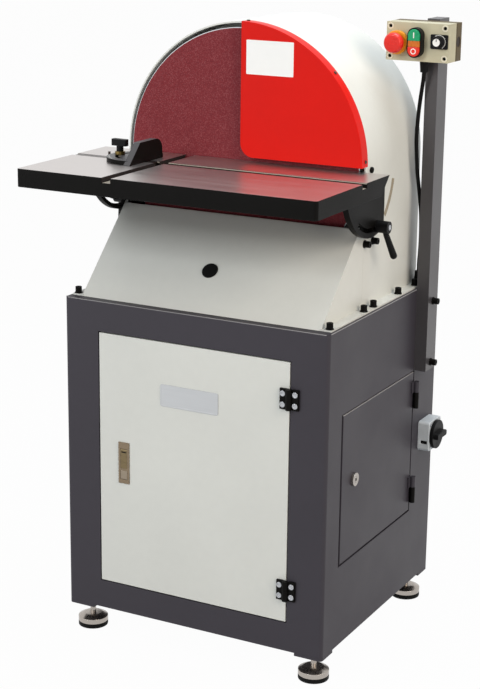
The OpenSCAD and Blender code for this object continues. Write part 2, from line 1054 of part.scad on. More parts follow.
module table() {
    slope = table_y1 - table_t;
    color(ground_steel)
        difference() {
            union() {
                along_x(table_x * grow)
                    polygon([
                        [table_y0, plate_z0], [slope, plate_z0],
                        [table_y1, table_z1], [table_y0, table_z1]
                    ]);
                both_sides()
                    along_x([table_x - apron_t, table_x])
                        polygon([
                            [table_y0, table_z0], [table_y1 - apron_h, table_z0],
                            [slope, plate_z0], [table_y0, plate_z0]
                        ]);
                block(table_x * grow, [table_y0, table_y0 + apron_t], [table_z0, plate_z0]);
                block(
                    (quad_x[0] - rib_t) * grow,
                    shift(table_y1 - rib_in, [0, rib_t]),
                    [plate_z0 - rib_h, plate_z0]
                );
                for (sx = [-1, 1])
                    block(
                        shift(sx * rib_x, rib_t / 2 * grow),
                        [table_y0, table_y1 - rib_in],
                        [plate_z0 - rib_h, plate_z0]
                    );
            }
            block((table_x + cut) * grow, shift(slot_y, slot_w / 2 * grow), [slot_z, table_z1 + cut]);
            block(
                shift(cross_x, slot_w / 2 * grow),
                [table_y0 - cut, table_y1 + cut],
                [slot_z, table_z1 + cut]
            );
        }
}

// Arc about the tilt axis, along a range in X, swept by a feature of the stud's place
module tilt_slot(x, half_w, half_angle) {
    along_x(x)
        translate([table_y1, table_z1])
            ring_arc(
                arc_r - half_w,
                arc_r + half_w,
                arc_angle - half_angle - tilt_max - slot_slack,
                arc_angle + half_angle + slot_slack
            );
}

// Half-moon plate about the tilt axis: the bracket's key runs in its arc groove, and the
// clamp stud passes through the narrower slot in the groove's floor
module quadrant() {
    difference() {
        along_x(quad_x)
            translate([table_y1, table_z1])
                intersection() {
                    circle(quad_r);
                    translate([-quad_r, -quad_r])
                        square([quad_r + quad_rear, quad_r - apron_h]);
                }
        tilt_slot([quad_x[0] - cut, quad_x[0] + key_t], arc_w / 2, key_half);
        tilt_slot(quad_x + cut * grow, stud_d / 2 + hole_gap, stud_swing);
    }
    block(quad_x, shift(table_y1, quad_foot_ys), [table_z0 - quad_foot_t, plate_z0]);
    block(
        [quad_x[0], quad_x[0] + quad_foot_w],
        shift(table_y1, quad_foot_ys),
        [plate_z0 - quad_foot_t, plate_z0]
    );
}

module trunnion_quadrants() {
    color(black_iron)
        both_sides()
            quadrant();
}

// Pad on the drum's wall with the arc key that the quadrant slides on, and its inner brace
module trunnion_bracket() {
    key_from = arc_angle - key_half;
    key_to = arc_angle + key_half;
    difference() {
        union() {
            along_x(bracket_x)
                translate([table_y1, table_z1])
                    intersection() {
                        circle(quad_r - bracket_lip);
                        translate([-bracket_in / 2, -quad_r])
                            square([bracket_in / 2 + quad_rear, bracket_in]);
                    }
            along_x([bracket_x[1], bracket_x[1] + key_t])
                translate([table_y1, table_z1])
                    ring_arc(arc_r - arc_w / 2 + running, arc_r + arc_w / 2 - running, key_from, key_to);
        }
        rod_x(stud_d + 2 * hole_gap, bracket_x + (key_t + cut) * grow, stud_y, stud_z);
    }
    difference() {
        block(
            [drum_in - bracket_t, drum_in],
            shift(stud_y, brace_w / 2 * grow),
            shift(stud_z, [bracket_in / 2 - brace_h, bracket_in / 2])
        );
        rod_x(stud_d + 2 * hole_gap, [drum_in - bracket_t - cut, drum_in + cut], stud_y, stud_z);
        at_brace_screws()
            rod_x(screw_d + 2 * hole_gap, [drum_in - bracket_t - cut, drum_in + cut], 0, 0);
    }
}

module trunnion_brackets() {
    color(black_iron)
        both_sides()
            trunnion_bracket();
}

lever_x = shift(quad_x[1] + air, [0, hub_lever_l]);

module clamp_studs() {
    nut_x = drum_in - bracket_t;
    color(zinc)
        both_sides() {
            rod_x(stud_d, [nut_x - stud_d, lever_x[1] - bracket_lip], stud_y, stud_z);
            translate([nut_x - stud_d, stud_y, stud_z])
                rotate([0, 90, 0])
                    cylinder(d = 2 * stud_d, h = stud_d, $fn = 6);
        }
}

// Lever hub on its stud, with a round tapered handle that leans out from the table
module clamp_lever() {
    mid_x = (lever_x[0] + lever_x[1]) / 2;
    difference() {
        union() {
            rod_x(hub_lever_d, lever_x, stud_y, stud_z);
            translate([mid_x, stud_y, stud_z])
                rotate([lever_angle + 90, 0, 0])
                    rotate([0, 180 - lever_splay, 0]) {
                        cylinder(d1 = lever_root_d, d2 = lever_tip_d, h = lever_l - lever_tip_d / 2);
                        translate([0, 0, lever_l - lever_tip_d / 2])
                            sphere(d = lever_tip_d);
                    }
        }
        rod_x(
            stud_d + 2 * running,
            [lever_x[0] - cut, lever_x[1] - bracket_lip + air],
            stud_y,
            stud_z
        );
    }
}

module clamp_lever_right() {
    color(black_iron)
        clamp_lever();
}

module clamp_lever_left() {
    color(black_iron)
        mirror([1, 0, 0])
            clamp_lever();
}

// Mitre gauge

gauge_z = table_z1 + gauge_lift;
head_top = gauge_z + protractor_t;
bar_x = shift(bar_in - table_x, [0, bar_l]);
gauge_x = bar_x[1] - pivot_in;
bar_top = table_z1 - bar_air;

module gauge_bar() {
    color(ground_steel) {
        block(bar_x, shift(slot_y, (slot_w / 2 - bar_air) * grow), [slot_z + bar_air, bar_top]);
        rod_z(pivot_d, gauge_x, slot_y, [slot_z + bar_air, head_top]);
        rod_z(lock_stud_d, gauge_x - lock_r, slot_y, [slot_z + bar_air, head_top + knob_foot_h]);
        rod_z(
            gauge_pin_d,
            gauge_x - protractor_r - gauge_pin_d,
            slot_y,
            [slot_z + bar_air, table_z1 + gauge_pin_h]
        );
    }
}

module gauge_head() {
    stud_half = lock_stud_d / 2 + air;
    face_x = gauge_x + fence_shift;
    color(black_iron)
        difference() {
            union() {
                translate([gauge_x, slot_y, gauge_z])
                    linear_extrude(protractor_t)
                        intersection() {
                            circle(protractor_r);
                            translate([-protractor_r, -protractor_r])
                                square([protractor_r + fence_shift, 2 * protractor_r]);
                        }
                along_x([face_x - fence_t, face_x])
                    translate([slot_y, gauge_z])
                        intersection() {
                            union() {
                                polygon([
                                    [-fence_front, 0],
                                    [fence_rear, 0],
                                    [fence_rear, fence_h - fence_round],
                                    [fence_rear - fence_round, fence_h],
                                    [fence_slope - fence_front, fence_h]
                                ]);
                                translate([fence_rear - fence_round, fence_h - fence_round])
                                    circle(fence_round);
                            }
                            translate([-fence_front, 0])
                                square([fence_front + fence_rear, fence_h]);
                        }
            }
            rod_z(pivot_d + 2 * running, gauge_x, slot_y, [gauge_z - cut, gauge_z + fence_h]);
            translate([gauge_x, slot_y, gauge_z - cut])
                linear_extrude(protractor_t + 2 * cut)
                    ring_arc(
                        lock_r - stud_half,
                        lock_r + stud_half,
                        180 - gauge_turn - lock_stud_d,
                        180 + gauge_turn + lock_stud_d
                    );
        }
}

module gauge_knob() {
    foot_z = head_top + air;
    neck_z = foot_z + knob_foot_h;
    bar_z = neck_z + knob_neck_h;
    color(black_iron)
        translate([gauge_x - lock_r, slot_y, 0])
            difference() {
                union() {
                    rod_z(knob_foot_d, 0, 0, [foot_z, neck_z]);
                    rod_z(knob_neck_d, 0, 0, [neck_z, bar_z]);
                    translate([0, 0, bar_z])
                        linear_extrude(knob_bar_h)
                            round_rect(knob_bar_l, knob_bar_w, knob_round);
                }
                rod_z(lock_stud_d + 2 * running, 0, 0, [foot_z - cut, neck_z + air]);
            }
}

// Post, control box and cable

module post() {
    post_x = [side_x, side_x + post_w];
    span_y = [post_y, post_y + post_d];
    top = cab_z1 + post_top;
    color(cabinet_grey)
        difference() {
            block(post_x, span_y, [post_z, top]);
            block(
                post_x - post_wall * grow,
                span_y - post_wall * grow,
                [post_z - cut, top - post_wall]
            );
            for (rise = post_screw_rises)
                rod_x(
                    screw_d + 2 * hole_gap,
                    post_x + cut * grow,
                    post_y + post_d / 2,
                    post_z + rise
                );
        }
}

box_x = shift(box_cx, box_w / 2 * grow);
lid_y = [box_y, box_y + lid_t];
device_z = box_mid;
estop_z = device_z - estop_drop;
speed_z = device_z + speed_lift;
estop_cx = box_cx + estop_x;
speed_cx = box_cx + speed_x;

module control_box() {
    body_y = [lid_y[1], post_y];
    color(box_beige)
        difference() {
            block(box_x, body_y, [box_z0, box_z1]);
            block(
                box_x - box_wall * grow,
                [body_y[0] - cut, body_y[1] - box_wall],
                [box_z0 + box_wall, box_z1 - box_wall]
            );
            difference() {
                block(
                    box_x + cut * grow,
                    shift(body_y[0], [lid_seam, 2 * lid_seam]),
                    [box_z0 - cut, box_z1 + cut]
                );
                block(box_x - box_wall / 2 * grow, body_y, [box_z0 + box_wall / 2, box_z1 - box_wall / 2]);
            }
            translate([box_cx + gland_x, box_y + gland_y, 0])
                rod_z(cable_d + 2 * hole_gap, 0, 0, [box_z0 - cut, box_z0 + box_wall + cut]);
        }
}

module control_lid() {
    color(box_beige)
        difference() {
            block(box_x, lid_y, [box_z0, box_z1]);
            block(
                box_x - box_wall * grow,
                [lid_y[0] + box_wall, lid_y[1] + cut],
                [box_z0 + box_wall, box_z1 - box_wall]
            );
            rod_y(estop_stem_d + 2 * running, estop_cx, lid_y + cut * grow, estop_z);
        }
}

module estop_collar() {
    color([0.93, 0.68, 0.05])
        difference() {
            rod_y(estop_collar_d, estop_cx, [box_y - estop_collar_t, box_y], estop_z);
            rod_y(
                estop_stem_d + 2 * running,
                estop_cx,
                [box_y - estop_collar_t - cut, box_y + cut],
                estop_z
            );
        }
}

module estop_button() {
    back = box_y - estop_collar_t - estop_neck;
    crown = estop_cap_h / 2;
    color([0.85, 0.12, 0.1]) {
        rod_y(estop_stem_d, estop_cx, [back, box_y + box_wall + estop_stem_in], estop_z);
        rod_y(estop_d, estop_cx, [back - crown, back], estop_z);
        translate([estop_cx, back - crown, estop_z])
            rotate([90, 0, 0])
                cylinder(d1 = estop_d, d2 = estop_d - crown, h = crown);
    }
}

// Outline of the push-button stack, shrunk by an inset, in X and Z about its middle
module stadium(inset) {
    r = bezel_w / 2 - inset;
    straight = bezel_h - bezel_w;
    square([2 * r, straight], center = true);
    for (sz = [-1, 1])
        translate([0, sz * straight / 2])
            circle(r);
}

// One cell of that stack between two heights, with a gap all round
module push_cell(low, high, y) {
    translate([box_cx, 0, device_z])
        along_y(y)
            intersection() {
                stadium(bezel_rim + air);
                translate([-bezel_w / 2, low + air / 2])
                    square([bezel_w, high - low - air]);
            }
}

push_y = shift(box_y - bezel_t - push_out, [0, bezel_t + push_out - bezel_floor - push_room]);

module push_bezel() {
    color(black_iron)
        translate([box_cx, 0, device_z])
            difference() {
                along_y([box_y - bezel_t, box_y])
                    stadium(0);
                along_y([box_y - bezel_t - cut, box_y - bezel_floor])
                    stadium(bezel_rim);
            }
}

module start_button() {
    color([0.1, 0.6, 0.4])
        push_cell(lens_top, bezel_h / 2, push_y);
}

module pilot_lens() {
    color([0.9, 0.5, 0.1])
        push_cell(lens_low, lens_top, [box_y - bezel_t - push_out / 2, box_y - bezel_floor]);
}

module stop_button() {
    color([0.85, 0.15, 0.1])
        push_cell(-bezel_h / 2, lens_low, push_y);
}

module speed_plate() {
    color(black_iron) {
        translate([speed_cx, 0, speed_z])
            along_y([box_y - speed_plate_t, box_y])
                round_rect(speed_plate_w, speed_plate_h, speed_plate_t);
        rod_y(
            speed_shaft_d,
            speed_cx,
            [box_y - speed_plate_t - speed_shaft_l, box_y - speed_plate_t],
            speed_z
        );
    }
}

module speed_knob() {
    knob_y = shift(box_y - speed_plate_t - air, [-speed_knob_l, 0]);
    color(black_iron)
        difference() {
            union() {
                rod_y(speed_d, speed_cx, knob_y + [speed_cap, 0], speed_z);
                rod_y(speed_d - speed_cap, speed_cx, knob_y, speed_z);
            }
            rod_y(
                speed_shaft_d + 2 * running,
                speed_cx,
                [knob_y[1] - speed_shaft_l, knob_y[1] + cut],
                speed_z
            );
        }
}

// Cable gland standing on its seat at zero, dome along +Z
module gland() {
    cylinder(d = gland_d, h = gland_nut_h, $fn = 6);
    translate([0, 0, gland_nut_h])
        cylinder(d1 = gland_d - gland_step, d2 = gland_dome_d, h = gland_dome_h);
}

module cable_glands() {
    color(black_iron) {
        translate([box_cx + gland_x, box_y + gland_y, box_z0])
            mirror([0, 0, 1])
                gland();
        translate([entry_x, entry_y, flange_z])
            gland();
    }
}

// Rings of points round the cable's route, square to it
function along(i) =
    let (
        a = cable_route[max(i - 1, 0)],
        b = cable_route[min(i + 1, len(cable_route) - 1)]
    )
    (b - a) / norm(b - a);

function ring(i) =
    let (
        t = along(i),
        u = cross([0, 1, 0], t) / norm(cross([0, 1, 0], t)),
        v = cross(t, u)
    )
    [for (k = [0:cable_sides - 1])
        let (a = k * 360 / cable_sides)
        cable_route[i] + cable_d / 2 * (cos(a) * u + sin(a) * v)];

module control_cable() {
    n = len(cable_route);
    points = [for (i = [0:n - 1]) each ring(i)];
    last = (n - 1) * cable_sides;
    faces = concat(
        [[for (k = [0:cable_sides - 1]) k]],
        [for (i = [0:n - 2], k = [0:cable_sides - 1])
            let (
                a = i * cable_sides + k,
                b = i * cable_sides + (k + 1) % cable_sides
            )
            each [[a, a + cable_sides, b], [b, a + cable_sides, b + cable_sides]]],
        [[for (k = [cable_sides - 1:-1:0]) last + k]]
    );
    color([0.05, 0.05, 0.05])
        polyhedron(points, faces);
}

// Isolator and electrical parts

iso_y = front_y + iso_setback;
iso_z = cab_z0 + iso_rise;

module isolator_base() {
    color([0.75, 0.78, 0.8]) {
        translate([0, iso_y, iso_z])
            along_x([side_x, side_x + iso_t])
                round_rect(iso_w, iso_w, iso_corner);
        rod_x(iso_shaft_d, [side_x + iso_t, side_x + iso_t + iso_shaft_l], iso_y, iso_z);
    }
}

module isolator_knob() {
    knob_x = side_x + iso_t + air;
    color(black_iron)
        difference() {
            union() {
                rod_x(iso_knob_d, [knob_x, knob_x + iso_knob_t], iso_y, iso_z);
                translate([0, iso_y, iso_z])
                    along_x([knob_x, knob_x + iso_knob_t + iso_bar_h])
                        round_rect(iso_bar_l, iso_bar_w, iso_bar_round);
            }
            rod_x(iso_shaft_d + 2 * running, [knob_x - cut, knob_x + iso_shaft_l], iso_y, iso_z);
        }
}

module electrical_panel() {
    floor_z = cab_z0 + sheet;
    color(zinc) {
        block([panel_x, panel_x + panel_t], panel_y, [floor_z, shell_z1 - panel_head]);
        block([panel_x, panel_x + panel_foot], panel_y, [floor_z, floor_z + panel_t]);
    }
}

module inverter() {
    low = cab_z0 + inverter_rise;
    span_y = shift(inverter_y, [0, inverter_w]);
    fin_pitch = inverter_w / (inverter_grooves + 1);
    face_x = panel_x + panel_t;
    color(black_iron)
        difference() {
            block([face_x, face_x + inverter_d], span_y, [low, low + inverter_h]);
            for (i = [1:inverter_grooves])
                block(
                    shift(face_x, inverter_d * inverter_fin_shares),
                    shift(inverter_y + i * fin_pitch, inverter_groove / 2 * grow),
                    [low + inverter_h - inverter_groove, low + inverter_h + cut]
                );
        }
}

// Front door and its latch

door_pin_x = door_w / 2 + door_gap / 2;
door_pin_y = front_y - pin_out;
latch_x = shift(door_x[0] + latch_in, [0, latch_w]);
latch_z = shift(door_z[0] + latch_rise, [0, latch_h]);
latch_cx = (latch_x[0] + latch_x[1]) / 2;

module latch_hole(gap, y) {
    block(latch_x - (latch_rim - gap) * grow, y, latch_z - (latch_rim - gap) * grow);
}

module front_door() {
    color(machine_white)
        difference() {
            block(door_x, [front_y, front_y + door_fold], door_z);
            block(
                door_x - sheet * grow,
                [front_y + sheet, front_y + door_fold + cut],
                door_z - sheet * grow
            );
            latch_hole(snug, [front_y - cut, front_y + sheet + cut]);
        }
}

// Leaf of a block hinge beside the pin, with its half of the knuckle
module hinge_leaf(side, z, knuckle_z) {
    near = knuckle_d / 2 + air;
    translate([door_pin_x, door_pin_y, 0])
        difference() {
            union() {
                block(
                    side > 0 ? [near, hinge_w / 2] : [-hinge_w / 2, -near],
                    [pin_out - hinge_t, pin_out],
                    z
                );
                block(
                    side > 0 ? [0, near] : [-near, 0],
                    [pin_out - hinge_t, pin_out - 2 * air],
                    knuckle_z
                );
                rod_z(knuckle_d, 0, 0, knuckle_z);
            }
            rod_z(pin_d + 2 * running, 0, 0, knuckle_z + cut * grow);
        }
}

module at_door_hinges() {
    for (z = [door_z[0] + hinge_low, door_z[1] - hinge_top_in - hinge_h])
        translate([0, 0, z])
            children();
}

module front_hinge_frames() {
    half = hinge_h / 2;
    color(black_iron)
        at_door_hinges() {
            hinge_leaf(1, [0, hinge_h], [0, half - air / 2]);
            translate([door_pin_x, door_pin_y, 0])
                rod_z(pin_d + 2 * running, 0, 0, [0, half - air / 2]);
            translate([door_pin_x, door_pin_y, 0])
                rod_z(pin_d, 0, 0, [0, hinge_h]);
        }
}

module front_hinge_leaves() {
    half = hinge_h / 2;
    color(black_iron)
        at_door_hinges()
            hinge_leaf(-1, [0, hinge_h], [half + air / 2, hinge_h]);
}

// Heights in the latch: the paddle hangs from its pin, with the button under it
paddle_z = latch_z[1] - paddle_top;
button_z = paddle_z - paddle_h - button_gap - button_h;
paddle_pin_z = paddle_z - paddle_barrel_d / 2;
latch_y0 = front_y - latch_rim;
paddle_pin_y = latch_y0 + paddle_barrel_d / 2;
cell_x = latch_x - (latch_rim + latch_wall) * grow;

module latch_body() {
    color(bronze)
        difference() {
            union() {
                block(latch_x, [latch_y0, front_y], latch_z);
                latch_hole(0, [front_y, front_y + latch_depth]);
            }
            block(
                cell_x,
                [latch_y0 - cut, latch_y0 + paddle_barrel_d + air],
                [paddle_z - paddle_h - air, paddle_z + air]
            );
            block(
                cell_x,
                [latch_y0 - cut, latch_y0 + button_t + button_stroke],
                [button_z - air, button_z + button_h + air]
            );
            rod_x(
                paddle_pin_d + 2 * running,
                cell_x + latch_wall / 2 * grow,
                paddle_pin_y,
                paddle_pin_z
            );
        }
}

module latch_paddle() {
    flap_x = cell_x - air * grow;
    color(bronze) {
        rod_x(paddle_barrel_d, flap_x, paddle_pin_y, paddle_pin_z);
        rod_x(paddle_pin_d, cell_x + latch_wall / 2 * grow - running * grow, paddle_pin_y, paddle_pin_z);
        block(flap_x, [latch_y0, latch_y0 + paddle_t], [paddle_z - paddle_h, paddle_pin_z]);
    }
}

module latch_button() {
    color(bronze)
        block(cell_x - air * grow, [latch_y0, latch_y0 + button_t], shift(button_z, [0, button_h]));
}

// Side hatch and its lock

hatch_pin_x = side_x + barrel_d / 2 + air;
hatch_pin_y = hatch_y[1] + door_gap / 2;
barrel_split = barrel_h * barrel_split_share;
lock_y = hatch_y[0] + lock_in;
lock_z = hatch_z[1] - lock_drop;

module side_hatch() {
    color(cabinet_grey)
        difference() {
            block([side_x - door_fold, side_x], hatch_y, hatch_z);
            block(
                [side_x - door_fold - cut, side_x - sheet],
                hatch_y - sheet * grow,
                hatch_z - sheet * grow
            );
            rod_x(lock_barrel_d + 2 * snug, [side_x - sheet - cut, side_x + cut], lock_y, lock_z);
        }
}

// Half of a barrel hinge, with a foot on the sheet beside the pin
module barrel(side, z) {
    near = side > 0 ? [0, barrel_leaf] : [-barrel_leaf, 0];
    half = barrel_d / 2;
    translate([hatch_pin_x, hatch_pin_y, 0]) {
        rod_z(barrel_d, 0, 0, z);
        block([-half - air, -half / 2], side > 0 ? [door_gap, barrel_leaf] : [-barrel_leaf, -door_gap], z);
        block([-half + air, -half / 2], near, z);
    }
}

module at_hatch_hinges() {
    for (z = [hatch_z[0] + barrel_low, hatch_z[1] - barrel_top_in - barrel_h])
        translate([0, 0, z])
            children();
}

module side_hinge_frames() {
    color(black_iron)
        at_hatch_hinges() {
            barrel(1, [0, barrel_split - air / 2]);
            translate([hatch_pin_x, hatch_pin_y, 0])
                rod_z(pin_d, 0, 0, [0, barrel_h - barrel_d]);
        }
}

module side_hinge_leaves() {
    color(cabinet_grey)
        at_hatch_hinges()
            difference() {
                barrel(-1, [barrel_split + air / 2, barrel_h]);
                translate([hatch_pin_x, hatch_pin_y, 0])
                    rod_z(pin_d + 2 * running, 0, 0, [0, barrel_h - barrel_d + air]);
            }
}

module lock_body() {
    color(zinc)
        difference() {
            union() {
                rod_x(lock_d, [side_x, side_x + lock_rim], lock_y, lock_z);
                rod_x(lock_barrel_d, [side_x - lock_depth, side_x], lock_y, lock_z);
            }
            rod_x(
                lock_plug_d + 2 * running,
                [side_x - lock_depth - cut, side_x + lock_rim + cut],
                lock_y,
                lock_z
            );
        }
}

module lock_plug() {
    cam_x = shift(side_x - lock_depth - air, [-cam_t, 0]);
    cam_l = lock_in + hatch_free + cam_over;
    color(zinc) {
        rod_x(lock_plug_d, [cam_x[0], side_x + lock_rim], lock_y, lock_z);
        block(cam_x, shift(lock_y, cam_w / 2 * grow), shift(lock_z, [-cam_w / 2, cam_l]));
    }
}

cabinet_shell();
cabinet_back();
cabinet_deck();
cabinet_floor();
foot_bodies();
foot_pads();
hopper();
hopper_plug();
drum_housing();
drum_bulkhead();
disc_guard();
cap_screws();
dust_spigot();
dust_duct();
motor_pedestal();
motor_frame();
motor_end_shields();
motor_bearings();
fan_cowl();
trunnion_brackets();
clamp_studs();
post();
control_box();
control_lid();
estop_collar();
push_bezel();
pilot_lens();
speed_plate();
cable_glands();
control_cable();
isolator_base();
front_hinge_frames();
side_hinge_frames();
electrical_panel();
inverter();
disc_plate();
abrasive_disc();
motor_rotor();
cooling_fan();
table();
trunnion_quadrants();
clamp_lever_right();
clamp_lever_left();
gauge_bar();
gauge_head();
gauge_knob();
front_door();
front_hinge_leaves();
latch_body();
latch_paddle();
latch_button();
side_hatch();
side_hinge_leaves();
lock_body();
lock_plug();
isolator_knob();
estop_button();
start_button();
stop_button();
speed_knob();
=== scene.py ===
import json
import math

import bmesh
import bpy
from bpy.props import FloatProperty, FloatVectorProperty, PointerProperty
from mathutils import Matrix, Vector


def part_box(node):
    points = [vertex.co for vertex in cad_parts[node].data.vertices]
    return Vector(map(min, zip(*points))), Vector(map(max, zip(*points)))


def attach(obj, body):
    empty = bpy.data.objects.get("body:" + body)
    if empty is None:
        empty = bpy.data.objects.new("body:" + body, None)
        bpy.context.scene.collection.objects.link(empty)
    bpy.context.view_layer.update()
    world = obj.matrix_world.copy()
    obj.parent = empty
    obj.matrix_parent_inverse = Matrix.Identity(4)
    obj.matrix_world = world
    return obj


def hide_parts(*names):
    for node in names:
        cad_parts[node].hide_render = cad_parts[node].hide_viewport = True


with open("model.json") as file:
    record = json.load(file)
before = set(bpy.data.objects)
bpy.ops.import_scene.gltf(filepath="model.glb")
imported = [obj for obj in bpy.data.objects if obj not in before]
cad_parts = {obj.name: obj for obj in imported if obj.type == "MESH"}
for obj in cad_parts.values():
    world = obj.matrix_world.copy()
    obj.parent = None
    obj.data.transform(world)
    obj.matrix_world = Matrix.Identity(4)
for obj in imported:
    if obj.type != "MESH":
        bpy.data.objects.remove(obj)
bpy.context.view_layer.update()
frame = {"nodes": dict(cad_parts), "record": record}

bl_info = {
    "name": "Disc sander dressing",
    "version": (1, 0, 0),
    "blender": (4, 5, 0),
    "location": "View3D > Sidebar > Sander",
    "description": "Finishes, small hardware and stage for a floor-standing disc sander",
    "category": "Object",
}

RECORD = frame["record"]
BODY_OF = {n: b for b, nodes in RECORD["behaviour"]["bodies"].items() for n in nodes}
TILT_JOINT = next(j for j in RECORD["behaviour"]["joints"] if j["name"] == "table_tilt")
MM = 0.001
TILT_Y, TILT_Z = (v / MM for v in TILT_JOINT["pos_m"][1:])
FORWARD = (0, -1, 0)
# Distance of the drum's walls from its middle, and how far a cutter runs past a surface, in millimetres
DRUM_WALL = 265
OVERRUN = 1
# A point no further than this from a plane counts as on it, in metres
NEAR = 2e-4
# Range that most of a noise texture's values lie in
NOISE_RANGE = (0.3, 0.7)

# Centre line of the control cable, from the box gland to the deck gland, in millimetres
CABLE_ROUTE = [
    (296.5, 131, 1162.5), (296, 131, 1150), (293, 134, 1134), (288, 138, 1106), (285, 139, 1079),
    (283, 140, 1051), (282.5, 140, 1023), (283, 143, 995), (283, 150, 959), (283, 160, 929),
    (282, 172, 900), (281, 182, 870), (280, 188, 840), (279, 191, 810), (278, 192, 785),
    (277, 192, 765), (277, 192, 746),
]


def colour_prop(name, description, value):
    return FloatVectorProperty(name=name, description=description, default=value, size=3,
                               min=0.0, max=1.0, subtype="COLOR")


def length_prop(name, description, value):
    return FloatProperty(name=name, description=description, default=value, min=0.0, unit="LENGTH")


def srgb(r, g, b):
    """Linear colour from display values of 0 to 255."""
    return tuple(v / 12.92 if v <= 0.04045 else ((v + 0.055) / 1.055) ** 2.4
                 for v in (r / 255, g / 255, b / 255))


class SanderColours(bpy.types.PropertyGroup):
    """Colours of the machine's finishes"""
    cabinet: colour_prop("Cabinet", "Dark grey paint of the cabinet", srgb(56, 53, 60))
    housing: colour_prop("Housing", "Off-white paint of the drum, the hopper and the front door",
                         srgb(216, 217, 212))
    guard: colour_prop("Guard", "Red paint of the disc guard", srgb(211, 20, 10))
    abrasive: colour_prop("Abrasive", "Coated face of the sanding disc", srgb(122, 42, 48))
    table: colour_prop("Table top", "Ground iron of the table top", srgb(200, 194, 191))
    black: colour_prop("Black iron", "Black paint of the trunnions and the table's sides", srgb(13, 12, 11))
    box: colour_prop("Control box", "Beige plastic of the control box's lid", srgb(184, 178, 150))


class SanderSizes(bpy.types.PropertyGroup):
    """Sizes of the small pieces and of the table's rounding"""
    cable: length_prop("Cable", "Diameter of the control cable", 0.008)
    table_edge: length_prop("Table edge", "Rounding of the table's fine edges", 0.00105)
    table_corner: length_prop("Table corner", "Rounding of the table's upright corners", 0.007)
    hinge_screw: length_prop("Hinge screw", "Radius of the hinge screws' heads", 0.0057)
    guard_screw: length_prop("Guard screw", "Radius of the guard screws' heads", 0.0035)
    lever_hub: length_prop("Lever hub", "Length of a clamp lever's hub", 0.025)
    plate: length_prop("Plate", "Thickness of the front door's blank plate", 0.0012)


# Modelling helpers


def box_mm(node):
    """The low and high corners of a CAD node's box, in millimetres."""
    return [[v / MM for v in corner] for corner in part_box(node)]


def front_middle(node):
    """The middle of the front of a CAD node's box, in millimetres."""
    low, high = box_mm(node)
    return (low[0] + high[0]) / 2, low[1], (low[2] + high[2]) / 2


def turned(direction):
    """Rotation that takes +Z to a direction."""
    return Vector((0, 0, 1)).rotation_difference(Vector(direction)).to_matrix().to_4x4()


def turn_z(degrees):
    return Matrix.Rotation(math.radians(degrees), 4, "Z")


def leave_edit():
    bpy.ops.object.mode_set(mode="OBJECT")


def apply_place():
    bpy.ops.object.transform_apply(location=True, rotation=True, scale=True)


def select_only(*objs):
    if bpy.context.mode != "OBJECT":
        leave_edit()
    bpy.ops.object.select_all(action="DESELECT")
    for o in objs:
        o.select_set(True)
    if objs:
        bpy.context.view_layer.objects.active = objs[0]


def pick(obj, faces=None, edges=None):
    """In edit mode, selects the faces or edges that pass a test on their middle and direction."""
    if obj.mode != "EDIT":
        select_only(obj)
        bpy.ops.object.mode_set(mode="EDIT")
    bpy.ops.mesh.select_mode(type="FACE" if faces else "EDGE")
    bpy.ops.mesh.select_all(action="DESELECT")
    mesh = bmesh.from_edit_mesh(obj.data)
    if faces:
        for f in mesh.faces:
            f.select = faces(f.calc_center_median(), f.normal)
    else:
        for e in mesh.edges:
            a, b = e.verts[0].co, e.verts[1].co
            e.select = edges((a + b) / 2, (b - a).normalized())
    mesh.select_flush_mode()
    bmesh.update_edit_mesh(obj.data)


def bevel(obj, width, segments=2, angle=35):
    """Rounds the sharp edges of a piece with an applied modifier."""
    select_only(obj)
    mod = obj.modifiers.new("edge", "BEVEL")
    mod.limit_method = "ANGLE"
    mod.angle_limit = math.radians(angle)
    mod.width = width
    mod.segments = segments
    bpy.ops.object.modifier_apply(modifier=mod.name)


def recess(obj, faces, border, move):
    """Sinks the faces that pass a test, inside a border."""
    pick(obj, faces=faces)
    bpy.ops.mesh.inset(thickness=border)
    bpy.ops.mesh.extrude_region_move(TRANSFORM_OT_translate={"value": move})
    leave_edit()


def sink(obj, cutter):
    """Cuts one shape out of a piece with an applied modifier."""
    select_only(obj)
    mod = obj.modifiers.new("sink", "BOOLEAN")
    mod.object = cutter
    mod.operation = "DIFFERENCE"
    mod.solver = "EXACT"
    bpy.ops.object.modifier_apply(modifier=mod.name)
    bpy.data.objects.remove(cutter, do_unlink=True)


def settle(obj, name, body, material):
    """Applies a finished piece's place and hands it to its body."""
    select_only(obj)
    apply_place()
    bpy.ops.object.shade_smooth_by_angle(angle=math.radians(38))
    mod = obj.modifiers.new("flats", "WEIGHTED_NORMAL")
    mod.keep_sharp = True
    bpy.ops.object.modifier_apply(modifier=mod.name)
    obj.name = name
    obj.data.name = name
    if material:
        obj.data.materials.clear()
        obj.data.materials.append(MATERIALS[material])
    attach(obj, body)
    return obj


def face_materials(obj, names, index_of):
    """Puts several materials on a piece, and on each face the one that a function of the face numbers."""
    obj.data.materials.clear()
    for name in names:
        obj.data.materials.append(MATERIALS[name])
    for face in obj.data.polygons:
        face.material_index = index_of(face)


def rim_of(node, axis):
    """Test that finds the border edges of a node's flat face on the high side of an axis."""
    low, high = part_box(node)
    across = [i for i in range(3) if i != axis]

    def on_rim(middle, direction):
        on_border = any(abs(middle[i] - corner[i]) < NEAR for i in across for corner in (low, high))
        return abs(middle[axis] - high[axis]) < NEAR and on_border

    return on_rim


